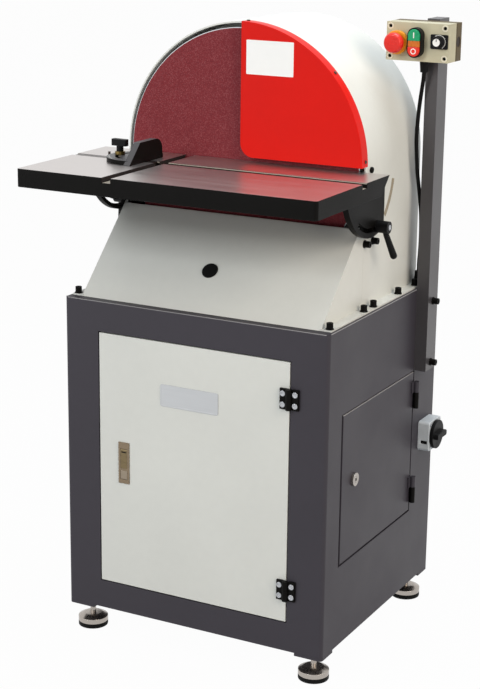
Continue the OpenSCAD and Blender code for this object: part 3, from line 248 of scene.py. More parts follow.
def soften(node, width, material, segments=2, cutters=(), edges=None, edge_width=0, split=None):
    """Stands in for a CAD node with a merged copy: recesses cut, picked edges rounded, then the other edges,
    and picked faces split at a height."""
    src = frame["nodes"][node]
    obj = src.copy()
    obj.data = src.data.copy()
    bpy.context.scene.collection.objects.link(obj)
    obj.parent = None
    obj.matrix_world = src.matrix_world.copy()
    select_only(obj)
    apply_place()
    if obj.data.has_custom_normals:
        bpy.ops.mesh.customdata_custom_splitnormals_clear()
    bpy.ops.object.mode_set(mode="EDIT")
    bpy.ops.mesh.select_all(action="SELECT")
    bpy.ops.mesh.remove_doubles(threshold=1e-6)
    bpy.ops.mesh.dissolve_limited(angle_limit=math.radians(0.4))
    leave_edit()
    for cutter in cutters:
        sink(obj, cutter)
    if edges:
        pick(obj, edges=edges)
        bpy.ops.mesh.bevel(offset=edge_width, segments=4)
        leave_edit()
    if width:
        bevel(obj, width, segments)
    if split:
        faces, height = split
        pick(obj, faces=faces)
        bpy.ops.mesh.bisect(plane_co=(0, 0, height), plane_no=(0, 0, 1))
        leave_edit()
    settle(obj, node + "_edged", BODY_OF[node], material)
    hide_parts(node)
    return obj


def block(low, high):
    """A cube primitive between two corners, in millimetres."""
    select_only()
    size = [(h - l) * MM for l, h in zip(low, high)]
    middle = [(h + l) / 2 * MM for l, h in zip(low, high)]
    bpy.ops.mesh.primitive_cube_add(size=1, location=middle)
    obj = bpy.context.object
    obj.scale = size
    apply_place()
    return obj


def rod(radius, start, end, sides=40):
    """A cylinder primitive between two points, in millimetres."""
    select_only()
    a, b = Vector(start) * MM, Vector(end) * MM
    bpy.ops.mesh.primitive_cylinder_add(vertices=sides, radius=radius * MM, depth=(b - a).length)
    obj = bpy.context.object
    obj.matrix_world = Matrix.Translation((a + b) / 2) @ turned((b - a).normalized())
    apply_place()
    return obj


def arc_strip(inner, outer, thick, start, end, steps):
    """A flat strip about the origin in the XY plane, from a section spun between two angles in degrees."""
    select_only()
    bpy.ops.mesh.primitive_plane_add(size=1, rotation=(math.pi / 2, 0, 0))
    strip = bpy.context.object
    strip.scale = ((outer - inner) * MM, thick * MM, 1)
    strip.location = ((inner + outer) / 2 * MM, 0, thick / 2 * MM)
    apply_place()
    bpy.ops.object.mode_set(mode="EDIT")
    bpy.ops.mesh.select_all(action="SELECT")
    # A positive spin turns clockwise about its axis
    bpy.ops.mesh.spin(steps=steps, angle=math.radians(start - end), center=(0, 0, 0), axis=(0, 0, 1))
    bpy.ops.mesh.select_all(action="SELECT")
    bpy.ops.mesh.normals_make_consistent(inside=False)
    leave_edit()
    strip.rotation_euler = (0, 0, math.radians(start))
    apply_place()
    return strip


def spread(model, places):
    """Copies of one small model at matrices, joined to one piece."""
    made = []
    for place in places:
        select_only(model)
        bpy.ops.object.duplicate()
        one = bpy.context.object
        one.matrix_world = place
        apply_place()
        made.append(one)
    select_only(*made)
    bpy.ops.object.join()
    joined = bpy.context.object
    bpy.data.objects.remove(model, do_unlink=True)
    return joined


def screw_head(radius, height):
    """Pan-head screw standing on the origin, with a sunk drive in its top."""
    select_only()
    bpy.ops.mesh.primitive_cylinder_add(vertices=24, radius=radius, depth=height,
                                        location=(0, 0, height / 2))
    head = bpy.context.object
    apply_place()
    drive_border, drive_depth, rounding = radius * 0.45, height * 0.45, height * 0.3
    recess(head, lambda c, n: n.z > 0.9, drive_border, (0, 0, -drive_depth))
    bevel(head, rounding, 3, 50)
    return head


def copies(model, places):
    """Copies of one small model at (point, direction) places in millimetres, joined to one piece."""
    return spread(model, [Matrix.Translation(Vector(point) * MM) @ turned(direction)
                          for point, direction in places])


# Node groups and materials


def group(name, inputs):
    """A node group for one kind of surface, with its input and output nodes."""
    tree = bpy.data.node_groups.new(name, "ShaderNodeTree")
    for label, kind, value in inputs:
        socket = tree.interface.new_socket(name=label, in_out="INPUT", socket_type=kind)
        socket.default_value = value
    for label, kind in (("Colour", "NodeSocketColor"), ("Roughness", "NodeSocketFloat"),
                        ("Height", "NodeSocketFloat")):
        tree.interface.new_socket(name=label, in_out="OUTPUT", socket_type=kind)
    return tree, tree.nodes.new("NodeGroupInput"), tree.nodes.new("NodeGroupOutput")


def put_out(tree, gout, *values):
    """Links a surface's colour, roughness and height to its group's outputs."""
    for socket, value in zip(gout.inputs, values):
        tree.links.new(value, socket)


def noise(tree, vector, scale, detail, rough=0.5):
    node = tree.nodes.new("ShaderNodeTexNoise")
    node.inputs["Scale"].default_value = scale
    node.inputs["Detail"].default_value = detail
    node.inputs["Roughness"].default_value = rough
    tree.links.new(vector, node.inputs["Vector"])
    return node.outputs["Fac"]


def span(tree, value, low, high, start=0.0, end=1.0):
    node = tree.nodes.new("ShaderNodeMapRange")
    node.inputs["From Min"].default_value = start
    node.inputs["From Max"].default_value = end
    for socket, v in (("To Min", low), ("To Max", high)):
        if isinstance(v, (int, float)):
            node.inputs[socket].default_value = v
        else:
            tree.links.new(v, node.inputs[socket])
    tree.links.new(value, node.inputs["Value"])
    return node.outputs["Result"]


def math_node(tree, operation, a, b):
    node = tree.nodes.new("ShaderNodeMath")
    node.operation = operation
    for i, v in enumerate((a, b)):
        if isinstance(v, (int, float)):
            node.inputs[i].default_value = v
        else:
            tree.links.new(v, node.inputs[i])
    return node.outputs[0]


def weighted(tree, a, a_share, b, b_share):
    return math_node(tree, "ADD", math_node(tree, "MULTIPLY", a, a_share),
                     math_node(tree, "MULTIPLY", b, b_share))


def about(tree, value, middle, below, above):
    """A noise value spread over a range about a middle."""
    low = math_node(tree, "SUBTRACT", middle, below)
    high = math_node(tree, "ADD", middle, above)
    return span(tree, value, low, high, *NOISE_RANGE)


def blend_colour(tree, factor, a, b):
    node = tree.nodes.new("ShaderNodeMix")
    node.data_type = "RGBA"
    # This node's colour sockets are inputs 6 and 7 and output 2
    for i, value in ((0, factor), (6, a), (7, b)):
        tree.links.new(value, node.inputs[i])
    return node.outputs[2]


def shade_of(tree, colour, factor):
    """The colour made lighter or darker by a factor that varies over the surface."""
    node = tree.nodes.new("ShaderNodeVectorMath")
    node.operation = "SCALE"
    tree.links.new(colour, node.inputs[0])
    tree.links.new(factor, node.inputs["Scale"])
    return node.outputs[0]


def paint_group():
    """Sprayed machine paint: faint mottling, an orange-peel skin and handled patches."""
    tree, gin, gout = group("sprayed_paint", [
        ("Colour", "NodeSocketColor", (0.5, 0.5, 0.5, 1)), ("Rough", "NodeSocketFloat", 0.4),
        ("Mottle", "NodeSocketFloat", 0.05)])
    at = tree.nodes.new("ShaderNodeTexCoord").outputs["Object"]
    broad = noise(tree, at, 5.0, 4.0)
    fine = noise(tree, at, 55.0, 2.0)
    peel = noise(tree, at, 620.0, 2.0)
    mottle = gin.outputs["Mottle"]
    tone = about(tree, weighted(tree, broad, 0.7, fine, 0.3), 1.0, mottle, mottle)
    rough = about(tree, broad, gin.outputs["Rough"], 0.06, 0.08)
    put_out(tree, gout, shade_of(tree, gin.outputs["Colour"], tone), rough, peel)
    return tree


def brushed_group():
    """Ground or brushed metal: streaks along one way, with darker handled patches."""
    tree, gin, gout = group("brushed_metal", [
        ("Colour", "NodeSocketColor", (0.5, 0.5, 0.5, 1)), ("Rough", "NodeSocketFloat", 0.3),
        ("Run", "NodeSocketVector", (1.0, 1.0, 1.0)), ("Stain", "NodeSocketFloat", 0.1)])
    at = tree.nodes.new("ShaderNodeTexCoord").outputs["Object"]
    stretch = tree.nodes.new("ShaderNodeVectorMath")
    stretch.operation = "MULTIPLY"
    tree.links.new(at, stretch.inputs[0])
    tree.links.new(gin.outputs["Run"], stretch.inputs[1])
    streak = noise(tree, stretch.outputs[0], 1.0, 4.0, 0.6)
    patch = noise(tree, at, 9.0, 4.0)
    stain = gin.outputs["Stain"]
    tone = about(tree, weighted(tree, streak, 0.55, patch, 0.45), 1.0, stain, stain)
    rough = about(tree, streak, gin.outputs["Rough"], stain, stain)
    put_out(tree, gout, shade_of(tree, gin.outputs["Colour"], tone), rough, streak)
    return tree


def grit_group():
    """Coated abrasive: packed grains of three tones, each standing up from its bond."""
    tree, gin, gout = group("abrasive_grit", [
        ("Colour", "NodeSocketColor", (0.3, 0.1, 0.1, 1)), ("Pale", "NodeSocketColor", (0.5, 0.3, 0.3, 1)),
        ("Dark", "NodeSocketColor", (0.1, 0.03, 0.03, 1)), ("Grain", "NodeSocketFloat", 420.0)])
    at = tree.nodes.new("ShaderNodeTexCoord").outputs["Object"]
    cells = tree.nodes.new("ShaderNodeTexVoronoi")
    tree.links.new(at, cells.inputs["Vector"])
    tree.links.new(gin.outputs["Grain"], cells.inputs["Scale"])
    lots = tree.nodes.new("ShaderNodeSeparateColor")
    tree.links.new(cells.outputs["Color"], lots.inputs[0])
    dark_lot, pale_lot, rough_lot = lots.outputs[:3]
    cloud = noise(tree, at, 26.0, 5.0, 0.65)
    dark_mask = span(tree, dark_lot, 0.0, 0.8, 0.55, 0.95)
    pale_mask = span(tree, weighted(tree, pale_lot, 0.75, cloud, 0.35), 0.0, 0.7, 0.62, 1.0)
    colour = blend_colour(tree, dark_mask, gin.outputs["Colour"], gin.outputs["Dark"])
    colour = blend_colour(tree, pale_mask, colour, gin.outputs["Pale"])
    put_out(tree, gout, colour, span(tree, rough_lot, 0.75, 0.95), cells.outputs["Distance"])
    return tree


def moulded_group():
    """Moulded plastic or rubber: a fine etched texture and slight tone changes."""
    tree, gin, gout = group("moulded_skin", [
        ("Colour", "NodeSocketColor", (0.5, 0.5, 0.5, 1)), ("Rough", "NodeSocketFloat", 0.45),
        ("Etch", "NodeSocketFloat", 1.0)])
    at = tree.nodes.new("ShaderNodeTexCoord").outputs["Object"]
    etch = noise(tree, at, 1500.0, 2.0)
    patch = noise(tree, at, 40.0, 3.0)
    tone = about(tree, patch, 1.0, 0.07, 0.07)
    rough = about(tree, patch, gin.outputs["Rough"], 0.05, 0.07)
    height = math_node(tree, "MULTIPLY", etch, gin.outputs["Etch"])
    put_out(tree, gout, shade_of(tree, gin.outputs["Colour"], tone), rough, height)
    return tree


def finish_material(name, tree, values, bump, distance=0.0005, metallic=0.0, coat=0.0, specular=0.5):
    """A material that puts one of the surface groups into a Principled shader."""
    mat = bpy.data.materials.new(name)
    mat.use_nodes = True
    nodes, links = mat.node_tree.nodes, mat.node_tree.links
    shader = nodes["Principled BSDF"]
    shader.inputs["Metallic"].default_value = metallic
    shader.inputs["Coat Weight"].default_value = coat
    shader.inputs["Specular IOR Level"].default_value = specular
    skin = nodes.new("ShaderNodeGroup")
    skin.node_tree = tree
    for label, value in values.items():
        if isinstance(value, tuple) and tree.interface.items_tree[label].socket_type == "NodeSocketColor":
            value = (*value, 1.0)
        skin.inputs[label].default_value = value
    relief = nodes.new("ShaderNodeBump")
    relief.inputs["Strength"].default_value = bump
    relief.inputs["Distance"].default_value = distance
    links.new(skin.outputs["Height"], relief.inputs["Height"])
    links.new(skin.outputs["Colour"], shader.inputs["Base Color"])
    links.new(skin.outputs["Roughness"], shader.inputs["Roughness"])
    links.new(relief.outputs["Normal"], shader.inputs["Normal"])
    return mat


MATERIALS = {}


def make_materials(colours):
    paint, metal, grit, mould = paint_group(), brushed_group(), grit_group(), moulded_group()

    def painted(name, colour, rough, mottle, bump, specular=0.5):
        MATERIALS[name] = finish_material(name, paint, {"Colour": colour, "Rough": rough, "Mottle": mottle},
                                          bump, distance=0.0006, specular=specular)

    def ground(name, colour, rough, run, stain, bump=0.05):
        values = {"Colour": colour, "Rough": rough, "Run": run, "Stain": stain}
        MATERIALS[name] = finish_material(name, metal, values, bump, metallic=1.0)

    def moulded(name, colour, rough, etch=1.0, coat=0.0, specular=0.5):
        MATERIALS[name] = finish_material(name, mould, {"Colour": colour, "Rough": rough, "Etch": etch},
                                          bump=0.1, distance=0.0003, coat=coat, specular=specular)

    painted("cabinet_paint", tuple(colours.cabinet), rough=0.46, mottle=0.06, bump=0.2, specular=0.25)
    # Lighter grey for the upward rounding of the deck's and the hatch's rims: a painted highlight where the
    # overhead light catches them
    painted("edge_painted_highlight", srgb(134, 132, 134), rough=0.36, mottle=0.08, bump=0.1)
    painted("post_paint", srgb(68, 66, 69), rough=0.36, mottle=0.05, bump=0.15)
    painted("housing_paint", tuple(colours.housing), rough=0.36, mottle=0.03, bump=0.12, specular=0.4)
    painted("guard_paint", tuple(colours.guard), rough=0.34, mottle=0.04, bump=0.08, specular=0.12)
    painted("black_iron", tuple(colours.black), rough=0.42, mottle=0.18, bump=0.3, specular=0.06)
    # Grey for the gauge head's upward faces: a painted highlight
    painted("gauge_painted_highlight", srgb(62, 60, 62), rough=0.4, mottle=0.1, bump=0.15)
    painted("motor_paint", srgb(92, 97, 104), rough=0.45, mottle=0.08, bump=0.2)
    painted("blank_white", srgb(240, 241, 240), rough=0.35, mottle=0.02, bump=0.03)
    ground("table_top", tuple(colours.table), 0.32, (6.0, 90.0, 40.0), 0.03, 0.01)
    # Pale grey for the slots' floors and the tops of their far walls: a painted highlight
    painted("slot_painted_highlight", srgb(158, 149, 136), rough=0.4, mottle=0.08, bump=0.1)
    # Near-black for the slot walls that face right: painted shade
    painted("slot_shade", srgb(34, 30, 30), rough=0.45, mottle=0.1, bump=0.1, specular=0.2)
    ground("zinc_steel", srgb(172, 174, 178), 0.3, (60.0, 60.0, 240.0), 0.08)
    ground("chrome", srgb(172, 165, 158), 0.27, (40.0, 40.0, 90.0), 0.05, 0.01)
    ground("dark_steel", srgb(78, 70, 66), 0.34, (60.0, 60.0, 240.0), 0.08)
    ground("pale_bronze", srgb(146, 134, 118), 0.3, (30.0, 30.0, 160.0), 0.08)
    ground("olive_bronze", srgb(120, 106, 80), 0.3, (30.0, 30.0, 160.0), 0.08)
    ground("nickel_bronze", srgb(132, 117, 98), 0.28, (30.0, 30.0, 160.0), 0.08)
    ground("brass", srgb(132, 112, 66), 0.3, (60.0, 60.0, 60.0), 0.08)
    ground("disc_alloy", srgb(178, 180, 182), 0.32, (80.0, 80.0, 80.0), 0.06)
    ground("plate_alloy", srgb(186, 188, 190), 0.34, (14.0, 40.0, 380.0), 0.03, 0.02)
    moulded("rubber_black", srgb(12, 12, 12), 0.6, specular=0.1)
    moulded("cable_jacket", srgb(10, 9, 9), 0.5, specular=0.1)
    moulded("black_plastic", srgb(16, 16, 17), 0.42, specular=0.1)
    moulded("box_plastic", tuple(colours.box), 0.44)
    moulded("box_back", srgb(90, 78, 56), 0.5, specular=0.15)
    moulded("box_pale", srgb(214, 208, 186), 0.44)
    # Dark brown for the cable entry's blank: painted shade standing in for the entry's hole
    moulded("entry_painted_shade", srgb(48, 38, 31), 0.5, specular=0.15)
    moulded("scale_beige", srgb(152, 141, 121), 0.5)
    moulded("grey_plastic", srgb(196, 203, 209), 0.4)
    moulded("white_plastic", srgb(232, 232, 228), 0.35)
    moulded("red_plastic", srgb(218, 40, 30), 0.28, 0.3, 0.1, 0.3)
    moulded("stop_red", srgb(222, 44, 28), 0.3, 0.3, 0.1, 0.3)
    moulded("green_plastic", srgb(10, 150, 98), 0.3, 0.3, 0.1, 0.3)
    moulded("amber_plastic", srgb(200, 106, 24), 0.25, 0.2, 0.1, 0.3)
    moulded("yellow_plastic", srgb(244, 160, 22), 0.38)
    tones = {"Colour": tuple(colours.abrasive), "Pale": srgb(156, 84, 88), "Dark": srgb(104, 36, 44)}
    MATERIALS["abrasive"] = finish_material("abrasive", grit, {**tones, "Grain": 720.0},
                                            bump=0.4, distance=0.0006, specular=0.25)


# Finish of each plain CAD node, and the rounding of its edges in millimetres: 0 leaves its shape as it is
FINISHES = {
    "cabinet_shell": ("cabinet_paint", 0.6), "cabinet_back": ("cabinet_paint", 0),
    "cabinet_floor": ("cabinet_paint", 0.8),
    "foot_bodies": ("chrome", 0.8), "foot_pads": ("rubber_black", 1.6),
    "hopper": ("housing_paint", 0.8), "hopper_plug": ("rubber_black", 1.0),
    "drum_housing": ("housing_paint", 0.8), "drum_bulkhead": ("housing_paint", 0),
    "disc_guard": ("guard_paint", 0.9), "cap_screws": ("black_iron", 0.5),
    "dust_spigot": ("housing_paint", 0.5), "dust_duct": ("zinc_steel", 0),
    "motor_pedestal": ("black_iron", 1.0), "motor_frame": ("motor_paint", 0),
    "motor_end_shields": ("motor_paint", 0), "motor_bearings": ("zinc_steel", 0),
    "fan_cowl": ("motor_paint", 0), "trunnion_brackets": ("black_iron", 0.8),
    "clamp_studs": ("zinc_steel", 0.5), "post": ("post_paint", 0.8),
    "estop_collar": ("yellow_plastic", 0.8), "push_bezel": ("black_plastic", 0.8),
    "pilot_lens": ("amber_plastic", 0.5), "speed_plate": ("black_plastic", 0.5),
    "cable_glands": ("black_plastic", 0.8), "front_hinge_frames": ("black_iron", 0.5),
    "side_hinge_frames": ("black_iron", 0.5), "electrical_panel": ("zinc_steel", 0),
    "inverter": ("black_plastic", 1.2), "disc_plate": ("disc_alloy", 0.5),
    "abrasive_disc": ("abrasive", 0), "motor_rotor": ("zinc_steel", 0), "cooling_fan": ("black_plastic", 0),
    "trunnion_quadrants": ("black_iron", 0.8),
    "clamp_lever_right": ("black_plastic", 0.8), "clamp_lever_left": ("black_plastic", 0.8),
    "gauge_bar": ("dark_steel", 0.5), "front_door": ("housing_paint", 0.8),
    "front_hinge_leaves": ("black_iron", 0.5), "latch_body": ("nickel_bronze", 0.6),
    "latch_button": ("pale_bronze", 0.8), "side_hinge_leaves": ("cabinet_paint", 0.5),
    "lock_body": ("chrome", 0.7), "isolator_knob": ("black_plastic", 1.4),
    "estop_button": ("red_plastic", 2.6),
    "start_button": ("green_plastic", 1.0), "stop_button": ("stop_red", 1.0),
    "speed_knob": ("black_plastic", 0.8),
}


def seen_rays(tree):
    """One for camera, glossy and transmission rays, which see the white studio, and zero for the rest."""
    path = tree.nodes.new("ShaderNodeLightPath")
    mirrored = math_node(tree, "MAXIMUM", path.outputs["Is Glossy Ray"], path.outputs["Is Transmission Ray"])
    return math_node(tree, "MAXIMUM", path.outputs["Is Camera Ray"], mirrored)


# Operators


class SANDER_OT_stage(bpy.types.Operator):
    """Camera, floor, backdrop and soft lamps"""
    bl_idname = "sander.stage"
    bl_label = "Stage and camera"

    def execute(self, context):
        scene = context.scene
        scene.view_settings.view_transform = "Standard"
        # Camera found from the photo: angles in degrees, place in metres, lengths in the photo's pixels
        turn, rise, roll = (math.radians(v) for v in (27.61, 15.52, 0.79))
        place = (1.5913, -3.0490, 1.5547)
        wide, tall, focal, middle_x, middle_y = 480, 689, 1720.5, 255.0, 341.6
        back = Vector((math.sin(turn) * math.cos(rise), -math.cos(turn) * math.cos(rise), math.sin(rise)))
        right = Vector((math.cos(turn), math.sin(turn), 0))
        up = back.cross(right)
        right, up = (math.cos(roll) * right + math.sin(roll) * up,
                     -math.sin(roll) * right + math.cos(roll) * up)
        data = bpy.data.cameras.new("photo_camera")
        data.sensor_width = 36
        data.lens = data.sensor_width * focal / tall
        data.shift_x = (wide / 2 - middle_x) / tall
        data.shift_y = (middle_y - tall / 2) / tall
        camera = bpy.data.objects.new("photo_camera", data)
        camera.matrix_world = (Matrix.Translation(place)
                               @ Matrix((right, up, back)).transposed().to_4x4())
        scene.collection.objects.link(camera)
        scene.camera = camera

        floor_size, floor_grey, floor_glow, room_light = 40, 0.5, 0.975, 0.34
        select_only()
        bpy.ops.mesh.primitive_plane_add(size=floor_size, location=(0, 0, 0))
        floor = bpy.context.object
        floor.name = "studio_floor"
        mat = bpy.data.materials.new("studio_floor")
        mat.use_nodes = True
        nodes, links = mat.node_tree.nodes, mat.node_tree.links
        shader = nodes["Principled BSDF"]
        shader.inputs["Base Color"].default_value = (floor_grey, floor_grey, floor_grey, 1)
        shader.inputs["Roughness"].default_value = 0.9
        shader.inputs["Specular IOR Level"].default_value = 0.0
        glow = nodes.new("ShaderNodeEmission")
        glow.inputs["Color"].default_value = (1, 1, 1, 1)
        both = nodes.new("ShaderNodeMixShader")
        links.new(math_node(mat.node_tree, "MULTIPLY", seen_rays(mat.node_tree), floor_glow), both.inputs[0])
        links.new(shader.outputs[0], both.inputs[1])
        links.new(glow.outputs[0], both.inputs[2])
        links.new(both.outputs[0], nodes["Material Output"].inputs["Surface"])
        floor.data.materials.append(mat)

        world = bpy.data.worlds.new("studio")
        scene.world = world
        world.use_nodes = True
        nodes, links = world.node_tree.nodes, world.node_tree.links
        glow = nodes["Background"]
        glow.inputs["Color"].default_value = (1, 1, 1, 1)
        strength = span(world.node_tree, seen_rays(world.node_tree), room_light, 1.0)
        links.new(strength, glow.inputs["Strength"])

        for name, place, aim, size, watts, tint in (
            ("key_lamp", (-1.0, -3.7, 2.75), (0, 0, 0.75), 1.2, 60, (0.94, 0.98, 1.0)),
            ("fill_lamp", (-2.6, -3.0, 0.95), (0, 0, 0.75), 2.0, 20, (0.97, 0.99, 1.0)),
            ("side_lamp", (3.1, -1.3, 2.4), (0.2, 0, 0.8), 2.2, 77, (1.0, 0.89, 0.76)),
            ("top_lamp", (0.4, 0.4, 3.6), (0, 0, 0.6), 2.0, 68, (0.86, 0.94, 1.0)),
        ):
            lamp = bpy.data.lights.new(name, "AREA")
            lamp.size = size
            lamp.energy = watts
            lamp.color = tint
            obj = bpy.data.objects.new(name, lamp)
            obj.location = place
            obj.rotation_euler = (Vector(aim) - Vector(place)).to_track_quat("-Z", "Y").to_euler()
            scene.collection.objects.link(obj)
        return {"FINISHED"}


class SANDER_OT_cable(bpy.types.Operator):
    """Control cable that hangs from the control box's gland to the deck gland"""
    bl_idname = "sander.cable"
    bl_label = "Control cable"

    def execute(self, context):
        diameter = context.scene.sander_sizes.cable
        points = [Vector(p) * MM for p in CABLE_ROUTE]
        line, steps = [], 4
        for i in range(len(points) - 1):
            a, b = points[max(i - 1, 0)], points[i]
            c, d = points[i + 1], points[min(i + 2, len(points) - 1)]
            # Points of a smooth curve from b to c, bent by their neighbours
            for k in range(steps):
                t = k / steps
                line.append(0.5 * (2 * b + (c - a) * t + (2 * a - 5 * b + 4 * c - d) * t * t
                                   + (3 * b - a - 3 * c + d) * t ** 3))
        line.append(points[-1])
        curve = bpy.data.curves.new("control_cable_jacket", "CURVE")
        curve.dimensions = "3D"
        spline = curve.splines.new("POLY")
        spline.points.add(len(line) - 1)
        for p, q in zip(spline.points, line):
            p.co = (*q, 1)
        curve.bevel_depth = diameter / 2
        curve.bevel_resolution = 5
        curve.use_fill_caps = True
        spline.use_smooth = True
        cable = bpy.data.objects.new("control_cable_jacket", curve)
        context.scene.collection.objects.link(cable)
        curve.materials.append(MATERIALS["cable_jacket"])
        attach(cable, "machine")
        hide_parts("control_cable")
        return {"FINISHED"}


class SANDER_OT_finishes(bpy.types.Operator):
    """Finishes of the plain CAD nodes, the deck and the hatch, with rounded edges where they show, and a
    lighter painted highlight on the upward rounding of the deck's and the hatch's rims
    """
    bl_idname = "sander.finishes"
    bl_label = "Machine finishes"

    def execute(self, context):
        for node, (material, edge) in FINISHES.items():
            if edge:
                soften(node, edge * MM, material)
            else:
                mesh = frame["nodes"][node].data
                mesh.materials.clear()
                mesh.materials.append(MATERIALS[material])

        # Rounding faces that face up and outwards take the lighter grey: a painted highlight
        def lit_rounding(face):
            outward = face.normal.x > 0.3 or face.normal.y < -0.3
            return int(outward and face.normal.z > 0.3)

        right, up = 0, 2
        for node, axis, width in (("cabinet_deck", up, 0.0025), ("side_hatch", right, 0.003)):
            sheet = soften(node, 0, None, edges=rim_of(node, axis), edge_width=width)
            face_materials(sheet, ("cabinet_paint", "edge_painted_highlight"), lit_rounding)
        return {"FINISHED"}


class SANDER_OT_table(bpy.types.Operator):
    """Cast table with a ground top, painted sides and slots with painted light: a pale painted highlight on
    their floors and the tops of their far walls, and painted shade below that and on the walls facing right
    """
    bl_idname = "sander.table"
    bl_label = "Table"

    def execute(self, context):
        sizes = context.scene.sander_sizes
        low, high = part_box("table")
        top = high[2]
        # Above lit_wall the slots' far walls take the painted highlight; below it they stay black as painted
        # shade
        slot_floor, lit_wall = top - 0.0095, top - 0.0021
        rim, floor_reach, front_reach = 0.002, 0.001, 0.02

        def upright_corner(middle, direction):
            at_corner = all(min(abs(middle[i] - low[i]), abs(middle[i] - high[i])) < NEAR for i in (0, 1))
            return at_corner and abs(direction.z) > 0.9

        def slot_wall(middle, normal):
            in_depth = slot_floor < middle.z < top
            return normal.y < -0.9 and in_depth and middle.y > low[1] + front_reach

        # Slot floors and far-wall tops get the pale painted highlight, walls facing right the dark painted
        # shade
        def surface(face):
            c, n = face.center, face.normal
            inside = all(low[i] + rim < c[i] < high[i] - rim for i in (0, 1))
            in_slot = slot_floor - floor_reach < c.z < top
            lit = n.z > 0.95 or inside and n.y < -0.9 and c.z > lit_wall
            if n.z > 0.95 and c.z > top - rim:
                return 1
            if in_slot and lit:
                return 2
            return 3 if in_slot and inside and n.x > 0.9 else 0

        table = soften("table", sizes.table_edge, None, edges=upright_corner,
                       edge_width=sizes.table_corner, split=(slot_wall, lit_wall))
        face_materials(table, ("black_iron", "table_top", "slot_painted_highlight", "slot_shade"), surface)
        return {"FINISHED"}


class SANDER_OT_screws(bpy.types.Operator):
    """Small screws of the front hinges, the guard, the clamp levers and the drum"""
    bl_idname = "sander.screws"
    bl_label = "Small screws"

    def execute(self, context):
        sizes = context.scene.sander_sizes
        frame_low, frame_high = box_mm("front_hinge_frames")
        leaf_low = box_mm("front_hinge_leaves")[0]
        leaf_step, screw_in, head_t = 5, 6.8, 0.0022
        face_y = frame_high[1] - leaf_step
        heights = [frame_low[2] + h for h in (9.5, 31.5, 399.5, 421.5)]
        for name, x, body in (("hinge_frame_screws", frame_high[0] - screw_in, "machine"),
                              ("hinge_leaf_screws", leaf_low[0] + screw_in, "front_door")):
            places = [((x, face_y, z), FORWARD) for z in heights]
            made = copies(screw_head(sizes.hinge_screw, head_t), places)
            settle(made, name, body, "zinc_steel")

        low, high = box_mm("disc_guard")
        guard_r, sunk, from_front = 267.8, 0.05, 15
        axis_z, seat_r = high[2] - guard_r, guard_r - sunk
        places = []
        for angle in (87.5, 42.0, 3.2):
            a = math.radians(angle)
            out = (math.cos(a), 0, math.sin(a))
            places.append(((seat_r * out[0], low[1] + from_front, axis_z + seat_r * out[2]), out))
        made = copies(screw_head(sizes.guard_screw, 0.002), places)
        settle(made, "guard_screws", "machine", "dark_steel")

        stud_y, stud_z = ((a + b) / 2 for a, b in list(zip(*box_mm("clamp_studs")))[1:])
        for node in ("clamp_lever_right", "clamp_lever_left"):
            low, high = box_mm(node)
            side, inner = (1, low[0]) if low[0] > 0 else (-1, high[0])
            hub_end = inner + side * sizes.lever_hub / MM
            made = copies(screw_head(0.0055, 0.0014), [((hub_end, stud_y, stud_z), (side, 0, 0))])
            settle(made, node + "_screw", BODY_OF[node], "zinc_steel")

        screw_y = -42
        places = [((side * DRUM_WALL, screw_y, TILT_Z), (side, 0, 0)) for side in (-1, 1)]
        made = copies(screw_head(0.006, 0.0045), places)
        settle(made, "drum_wall_screws", "machine", "black_iron")
        return {"FINISHED"}


class SANDER_OT_box(bpy.types.Operator):
    """Two-part control box with its lid screws and a blanked cable entry, whose dark brown blank is painted
    shade
    """
    bl_idname = "sander.box"
    bl_label = "Control box"

    def execute(self, context):
        low, high = box_mm("control_lid")
        front = low[1]
        screw_in, ring_r, ring_t, well_r, well_deep = 8, 6.6, 0.7, 3.6, 3
        corners = [(x, z) for x in (low[0] + screw_in, high[0] - screw_in)
                   for z in (low[2] + screw_in, high[2] - screw_in)]
        wells = [rod(well_r, (x, front - OVERRUN, z), (x, front + well_deep, z), 24) for x, z in corners]
        soften("control_lid", 0.0016, "box_plastic", 3, wells)
        ring = rod(ring_r, (0, 0, 0), (0, 0, ring_t))
        for side in (1, -1):
            pick(ring, faces=lambda c, n: side * n.z > 0.9)
            bpy.ops.mesh.inset(thickness=(ring_r - well_r) * MM)
            bpy.ops.mesh.delete(type="FACE")
        pick(ring, edges=lambda c, d: abs(c.xy.length / MM - well_r) < 0.2 and abs(d.z) < 0.1)
        bpy.ops.mesh.bridge_edge_loops()
        bpy.ops.mesh.select_all(action="SELECT")
        bpy.ops.mesh.normals_make_consistent(inside=False)
        leave_edit()
        bevel(ring, 0.0003, 2)
        made = copies(ring, [((x, front, z), FORWARD) for x, z in corners])
        settle(made, "lid_rings", "machine", "box_pale")
        made = copies(screw_head(0.0029, 0.0018), [((x, front + well_deep, z), FORWARD) for x, z in corners])
        settle(made, "lid_screws", "machine", "black_iron")

        low, high = box_mm("control_box")
        entry_r, entry_deep, entry_in = 10.5, 1.6, 14
        blank_t, blank_gap, blank_rim, blank_sunk = 1, 0.6, 0.0025, 0.0004
        side, y, z = high[0], low[1] + entry_in, (low[2] + high[2]) / 2
        seat = side - entry_deep
        entry = rod(entry_r, (side + OVERRUN, y, z), (seat, y, z))
        soften("control_box", 0.001, "box_back", 2, [entry])
        # The blank's dark brown is painted shade for the hole of the cable entry
        blank = rod(entry_r - blank_gap, (seat, y, z), (seat + blank_t, y, z))
        recess(blank, lambda c, n: n.x > 0.9, blank_rim, (-blank_sunk, 0, 0))
        bevel(blank, 0.0002, 2)
        settle(blank, "box_blank", "machine", "entry_painted_shade")
        return {"FINISHED"}


